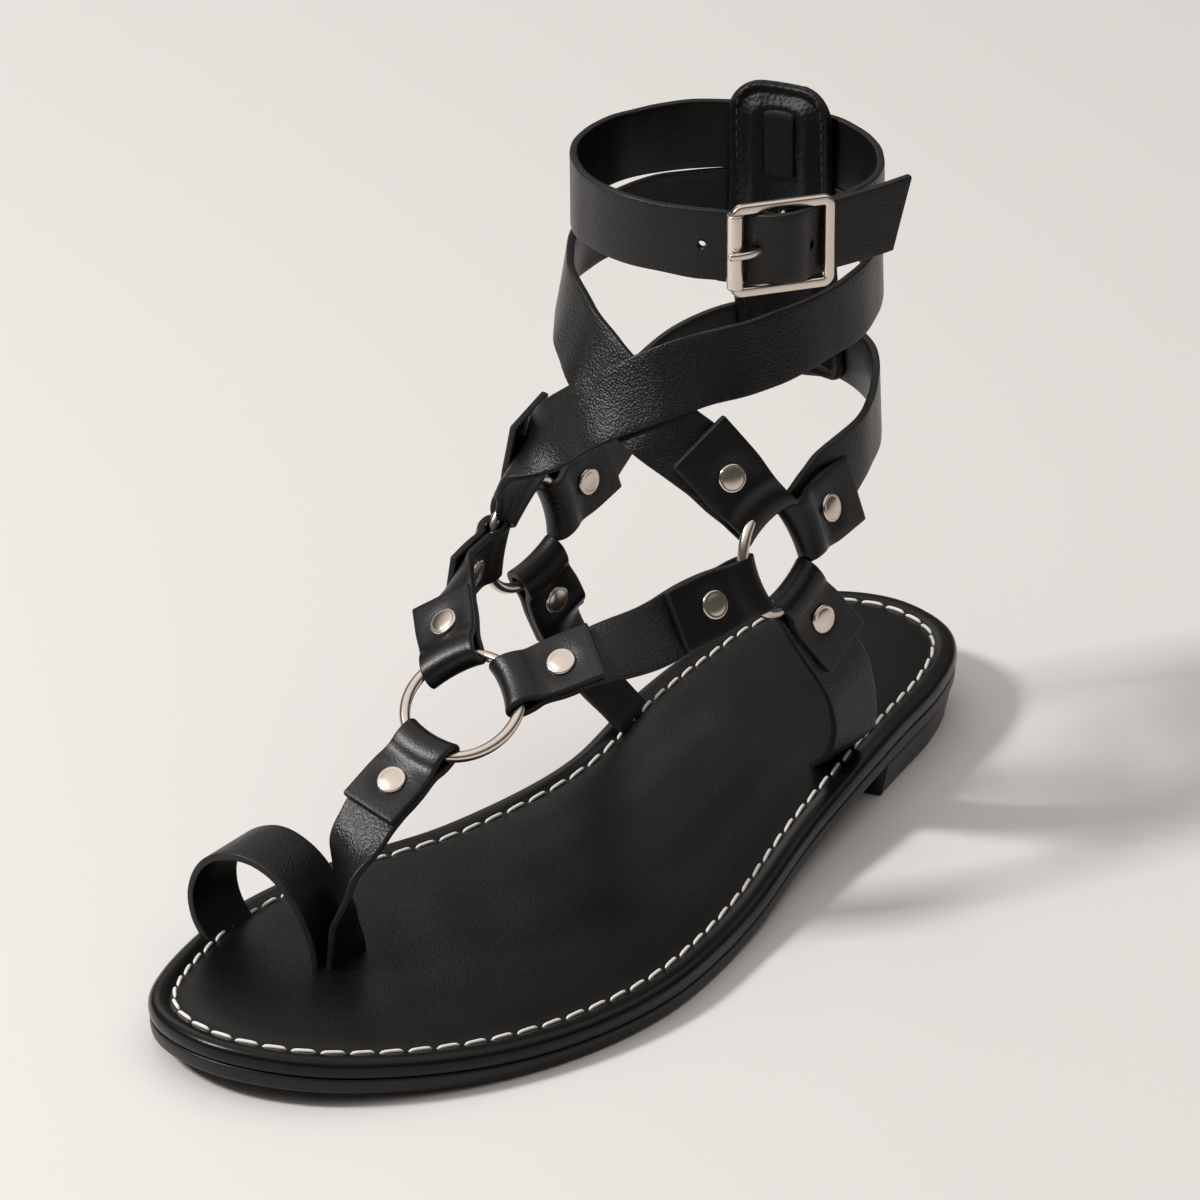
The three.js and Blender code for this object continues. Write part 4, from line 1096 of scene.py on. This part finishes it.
# %% Ankle strap
ANKLE_WIDTH = 15.6
FIXED_END = np.array([
    # e, n, thickness
    [5.6, -0.75, 1], [3, 0.75, 1], [1.2, 1.6, 1], [-0.2, 2, 1], [-1.5, 1.35, 1], [-2, 0, 1],
    [-1.5, -1.35, 1], [0, -2.05, 1], [3.5, -2.7, 1.2], [7.2, -3.6, 1.5],
])
TONGUE = np.array([
    # e, n, rise
    [-10.8, -3, 0], [-8.4, -2, 0.1], [-5.5, 0.5, 0.3], [-2.6, 3, 0.8], [0, 3.8, 1],
    [3, 3, 0.8], [6.2, 0.2, 0.3], [8.8, -1.8, 0.1], [11, -2.4, 0.1], [16, -3.0, 0.5],
    [21.5, -3.8, 1.0], [28.5, -5.0, 1.9],
])
AROUND = 78 + 11.8 * np.arange(25)
APPROACH = np.array([
    # angle, lift off the form on the way to the buckle
    [371, 0.2], [382, 0.6], [391, 1.1],
])
angles = np.r_[AROUND, APPROACH[:, 0]]
lifts = np.r_[np.full(len(AROUND), 0.5), APPROACH[:, 1]]
heights = ankle_height(angles)
on_form = on_leg(angles, heights) + leg_out(angles, heights) * (LEATHER / 2 + lifts)[:, None]
places = np.vstack([at_buckle(*FIXED_END.T[:2]), on_form, at_buckle(*TONGUE.T)])
thick = np.r_[FIXED_END[:, 2], np.full(len(places) - len(FIXED_END), LEATHER)]
ankle_path = np.column_stack([places, np.tile(-UP, (len(places), 1)),
                              np.full(len(places), ANKLE_WIDTH / 2), thick])
ankle = leather_strap("ankle_strap_leather", ankle_path, ["ankle_strap"], seed=21, slant=-3.0)

# %% [markdown]
# The adjusting holes are real holes. A Boolean modifier cuts them with thin cylinders that
# stand across the strap, and its result is written back to the mesh.


# %% Adjusting holes
def punch(piece, spots, radius):
    """Cuts round holes at (place, direction) spots through a piece."""
    rods = []
    a = np.linspace(0, 2 * np.pi, 20, endpoint=False)[None, :, None]
    for place, direction in spots:
        side = unit(np.cross(direction, [0.1, 0.2, 1.0]))
        ring = radius * (np.cos(a) * side + np.sin(a) * np.cross(direction, side))
        stem = np.array([-3.0, 3.0])[:, None, None] * direction
        rods.append(capped(place + ring + stem))
    points, faces = many(rods)
    mesh = bpy.data.meshes.new("punch")
    mesh.from_pydata(points * MM, [], faces)
    tool = bpy.data.objects.new("punch", mesh)
    bpy.context.scene.collection.objects.link(tool)
    cut = piece.modifiers.new("holes", "BOOLEAN")
    cut.object = tool
    cut.operation = "DIFFERENCE"
    cut.solver = "EXACT"
    cut.use_self = True
    bpy.context.view_layer.update()
    evaluated = piece.evaluated_get(bpy.context.evaluated_depsgraph_get())
    result = bpy.data.meshes.new_from_object(evaluated)
    piece.modifiers.clear()
    piece.data = result
    bpy.data.objects.remove(tool)
    print(piece.name, "after its holes:", len(result.polygons), "faces")


HOLE_RADIUS = 0.85
HOLE_ANGLE = 24.6931137725  # 16.5 mm round the form from the buckle
hole_z = float(ankle_height(HOLE_ANGLE))
hole_out = leg_out(HOLE_ANGLE, hole_z)
punch(ankle, [(on_leg(HOLE_ANGLE, hole_z) + hole_out, hole_out),
              (at_buckle(5.6, 0.8), unit(BUCKLE_OUT + 0.8 * BUCKLE_ALONG)),
              (at_buckle(-5.6, 0.6), unit(BUCKLE_OUT - 0.8 * BUCKLE_ALONG))], HOLE_RADIUS)

# %% [markdown]
# The buckle's frame is a flat-faced bar with soft edges, bent to a rectangle. Its section
# is a superellipse |x/a|^p + |y/b|^p = 1 with p a little over 3, which is rounder than a
# box and flatter than a wire. The roller is a sleeve on the front side, and the prong
# tapers to a round tip.


# %% Buckle frame
def rounded_rectangle(half_e, half_z, corner, steps=9):
    """Middle line of the frame: corner centres plus corner radius, with outward directions."""
    a = np.radians(np.linspace(0, 90, steps))
    turn = np.concatenate([a + k * np.pi / 2 for k in range(4)])
    sign_e = np.repeat([1, -1, -1, 1], steps)
    sign_z = np.repeat([1, 1, -1, -1], steps)
    return sign_e * half_e + corner * np.cos(turn), sign_z * half_z + corner * np.sin(turn), turn


def superellipse(half_a, half_b, power, count):
    """Points a sign(c)|c|^(2/power), b sign(s)|s|^(2/power) round a section."""
    t = np.linspace(0, 2 * np.pi, count, endpoint=False)
    c, s = np.cos(t), np.sin(t)
    a = half_a * np.sign(c) * np.abs(c)**(2 / power)
    b = half_b * np.sign(s) * np.abs(s)**(2 / power)
    return a, b


FRAME_LONG, FRAME_HIGH = 23, 20.8
BAR = 1.1  # from the frame's outside to the middle of its bar
FRAME_CORNER = 1.5
MIDDLE_BAR = 0.8  # its radius
side_e, side_z = FRAME_LONG / 2 - BAR, FRAME_HIGH / 2 - BAR
e, z, turn = rounded_rectangle(side_e - FRAME_CORNER, side_z - FRAME_CORNER, FRAME_CORNER)
wide, deep = superellipse(1.15, 0.95, power=3.4, count=20)
frame_grid = at_buckle(e[:, None] + wide * np.cos(turn)[:, None], deep[None, :],
                       z[:, None] + wide * np.sin(turn)[:, None])
frame_grid = frame_grid[:, ::-1]
shapes = [(frame_grid.reshape(-1, 3), grid_faces(*frame_grid.shape[:2], wrap_rows=True))]
a = np.linspace(0, 2 * np.pi, 20, endpoint=False)[None, :]
bar_rise = np.array([-side_z, side_z])[:, None]
middle_bar = at_buckle(MIDDLE_BAR * np.cos(a), MIDDLE_BAR * np.sin(a) - 0.15, bar_rise)
shapes.append(capped(middle_bar[:, ::-1]))
piece_from("buckle_frame_bar", *many(shapes), BUCKLE_NICKEL, "nickel", ["buckle_frame"])


# %% Roller and prong
def sleeve(e_middle, profile, sides=36):
    """A closed profile (radius, rise) turned about an upright axis at the buckle."""
    t = np.linspace(0, 2 * np.pi, sides, endpoint=False)[:, None]
    r, rise = np.asarray(profile, float).T
    grid = at_buckle(e_middle + r * np.cos(t), r * np.sin(t), rise + 0 * t)
    return grid.reshape(-1, 3), grid_faces(*grid.shape[:2], wrap_rows=True)


ROLLER_HALF = 8.3  # half its length
roller_end = [(1.82, ROLLER_HALF - 0.3), (1.78, ROLLER_HALF - 0.05), (1.6, ROLLER_HALF + 0.12),
              (1.4, ROLLER_HALF)]
roller = [(r, -rise) for r, rise in roller_end[::-1]] + [(1.82, 0)] + roller_end
piece_from("buckle_roller_sleeve", *sleeve(-side_e, roller), BUCKLE_NICKEL, "nickel",
           ["buckle_roller"])
prong_line = spline([(-1.6, 0.1, 0), (-3.4, 0.3, 0), (-5.2, 1.2, 0), (-7.6, 2.3, 0),
                     (-10.9, 2.75, 0), (-12.9, 2.45, 0)], 8)
share = np.linspace(0, 1, len(prong_line))
tip = np.sqrt(np.clip(1 - np.clip((share - 0.9) / 0.1, 0, 1)**2, 0.02, 1))
step = unit(np.gradient(prong_line, axis=0))
wide, deep = superellipse(0.95, 0.72, power=2.6, count=16)
aside = wide[None, :] * (tip * (1 - 0.12 * share))[:, None]
raised = deep[None, :] * tip[:, None]
prong_grid = at_buckle(prong_line[:, :1] - step[:, 1:2] * raised,
                       prong_line[:, 1:2] + step[:, :1] * raised, aside)
eye = [(1.15, -0.8), (1.9, -0.8), (2.1, -0.5), (2.1, 0.5), (1.9, 0.8), (1.15, 0.8)]
piece_from("buckle_prong_bar", *many([capped(prong_grid), sleeve(0.0, eye)]),
           BUCKLE_NICKEL, "nickel", ["buckle_prong"])

# %% [markdown]
# ## Heel tab
#
# A padded leather tab stands inside the straps behind the heel. Its padding is a function
# of the distance s from its edge: a rounded edge, a groove 2 mm in, and a full middle. A
# narrow leather strip comes out of the padding and lies in a hollow.

# %% Tab shape
TAB_ANGLE = 190.0
TAB_HALF = 12.8  # half its width
TAB_LOW, TAB_TOP = 84.0, 154.0
TAB_RADIUS = 31.3  # of the form there
TOP_CORNER, LOW_CORNER = 8.0, 4.0


def edge_distance(x, z):
    """Distance inside a rectangle whose upper corners are rounder than its lower ones."""
    middle = (TAB_LOW + TAB_TOP) / 2
    radius = np.where(z > middle, TOP_CORNER, LOW_CORNER)
    qx = np.abs(x) - TAB_HALF + radius
    qz = np.abs(z - middle) - (TAB_TOP - TAB_LOW) / 2 + radius
    outside = np.hypot(np.maximum(qx, 0), np.maximum(qz, 0))
    return radius - outside - np.minimum(np.maximum(qx, qz), 0)


def tab_depth(x, z):
    """Thickness of the tab: rounded edge, stitch groove, padding, and the strip's hollow."""
    s = edge_distance(x, z)
    edge = 1.5 * np.sqrt(np.clip(1 - (1 - np.clip(s / 0.9, 0, 1))**2, 0, 1))
    groove = 0.4 * np.exp(-((s - 2.1) / 0.55)**2)
    padding = 1.9 * ease((s - 2.3) / 3.6)
    hollow = 1.35 * np.exp(-(x / 4.6)**4) * ease((z - 129) / 4) * ease((150 - z) / 3)
    crease = 0.12 * np.sin(z / 2.1 + x / 3) * ease((s - 3) / 3)
    return 0.15 + edge - groove + padding - hollow + crease


def tab_point(x, z, depth):
    """A point of the tab: x round the form from its middle, z up, depth inwards."""
    angle = TAB_ANGLE + np.degrees(x / TAB_RADIUS)
    return on_leg(angle, z) - leg_out(angle, z) * np.asarray(depth + 0.3)[..., None]


# %% [markdown]
# The tab's surface is a grid of rows, each as wide as the outline at its height and closer
# together near the ends. The back lies on the form, the front is the thickness further in.
# The tab is foam under leather.

# %% Tab surface
levels = TAB_LOW + (TAB_TOP - TAB_LOW) * ease(np.linspace(0.0, 1.0, 90))
fine = np.linspace(-1, 1, 41)
spread = np.sin(fine * np.pi / 2) * 0.5 + fine * 0.5


def tab_half_width(z):
    """Half width of the outline at a height, from the corners' circles."""
    top = np.clip(z - (TAB_TOP - TOP_CORNER), 0, TOP_CORNER)
    low = np.clip((TAB_LOW + LOW_CORNER) - z, 0, LOW_CORNER)
    return (TAB_HALF - (TOP_CORNER - np.sqrt(TOP_CORNER**2 - top**2))
            - (LOW_CORNER - np.sqrt(LOW_CORNER**2 - low**2)))


x = spread[None, :] * tab_half_width(levels)[:, None]
z = np.broadcast_to(levels[:, None], x.shape)
back = tab_point(x, z, np.zeros_like(x))
front = tab_point(x, z, tab_depth(x, z))
tab_grid = np.concatenate([back, front[:, ::-1]], axis=1)
points, faces = capped(tab_grid)
tab = piece_from("padded_heel_tab", points, faces, TAB_LEATHER, "strap_leather", ["heel_tab"])

# %% [markdown]
# One seam of black thread goes up the groove on one side of the tab, over the top close to
# its edge and down the groove on the other side. The narrow strip leaves the padding below
# the seam and lies in its hollow. Both follow the tab's own thickness, so they stay on its
# surface if the padding is changed.

# %% Tab stitches and strip
a = np.radians(np.linspace(180, 0, 25))
arch = np.column_stack([np.cos(a) * 5.9, 148.1 + np.sin(a) * 5.8])
arch[:, 0] += np.sign(arch[:, 0]) * 4.8
low = np.array([[-10.7, 90.0], [-10.7, 120.0]])
seam = np.vstack([low, arch, low[::-1] * [-1, 1]])
seam = spline(np.column_stack([seam, np.zeros(len(seam))]), 4)
line = tab_point(seam[:, 0], seam[:, 1], tab_depth(seam[:, 0], seam[:, 1]))
normals = -leg_out(TAB_ANGLE + np.degrees(seam[:, 0] / TAB_RADIUS), seam[:, 1])
points, faces = stitches(line, normals, pitch=2.5, length=1.8, radius=0.22, rise=0.12,
                         sides=6, steps=7)
piece_from("tab_stitches", points, faces, BLACK_THREAD, "strap_leather", [])

THIN_LEATHER = 1.2
STRIP = np.array([
    # height, lift above the padding, half width
    [148.7, -0.9, 3.5], [147.7, 0.1, 3.6], [146.4, 0.75, 3.6], [143, 0.8, 3.55],
    [139, 0.75, 3.5], [136, 0.8, 3.45], [133.6, 1.0, 3.4],
])
strip_z, strip_lift, strip_half = STRIP.T
strip_depth = tab_depth(0 * strip_z, strip_z) + strip_lift
strip_across = unit(np.cross(leg_out(TAB_ANGLE, 140.0), UP))
strip_path = np.column_stack([tab_point(0 * strip_z, strip_z, strip_depth),
                              np.tile(strip_across, (len(STRIP), 1)), strip_half,
                              np.full(len(STRIP), THIN_LEATHER)])
leather_strap("tab_pull_strip", strip_path, [], seed=24, material=TAB_LEATHER)

# %% [markdown]
# Outside, one flat strip of leather stiffens the tab from top to bottom. Its lifts keep it
# clear of the back strap, the wrap strap and the ankle strap, which pass between it and
# the tab.

# %% Outer stay
STAY = np.array([
    # height, lift
    [153.2, 0.7], [151.6, 1.2], [149.9, 2.75], [142, 2.75], [134, 2.75], [125, 2.75],
    [116.2, 2.75], [114, 1.4], [111, 0.7], [105.5, 0.7], [103, 1.4], [101.2, 2.85],
    [92, 2.85], [83.6, 2.75], [81.8, 1.6],
])
stay_at = on_leg(TAB_ANGLE, STAY[:, 0]) + leg_out(TAB_ANGLE, STAY[:, 0]) * STAY[:, 1:]
stay_across = unit(np.cross(leg_out(TAB_ANGLE, 120.0), UP))
stay_path = np.column_stack([stay_at, np.tile(stay_across, (len(STAY), 1)),
                             np.full(len(STAY), 5.0), np.full(len(STAY), THIN_LEATHER)])
leather_strap("tab_outer_stay", stay_path, ["tab_stay"], seed=25)
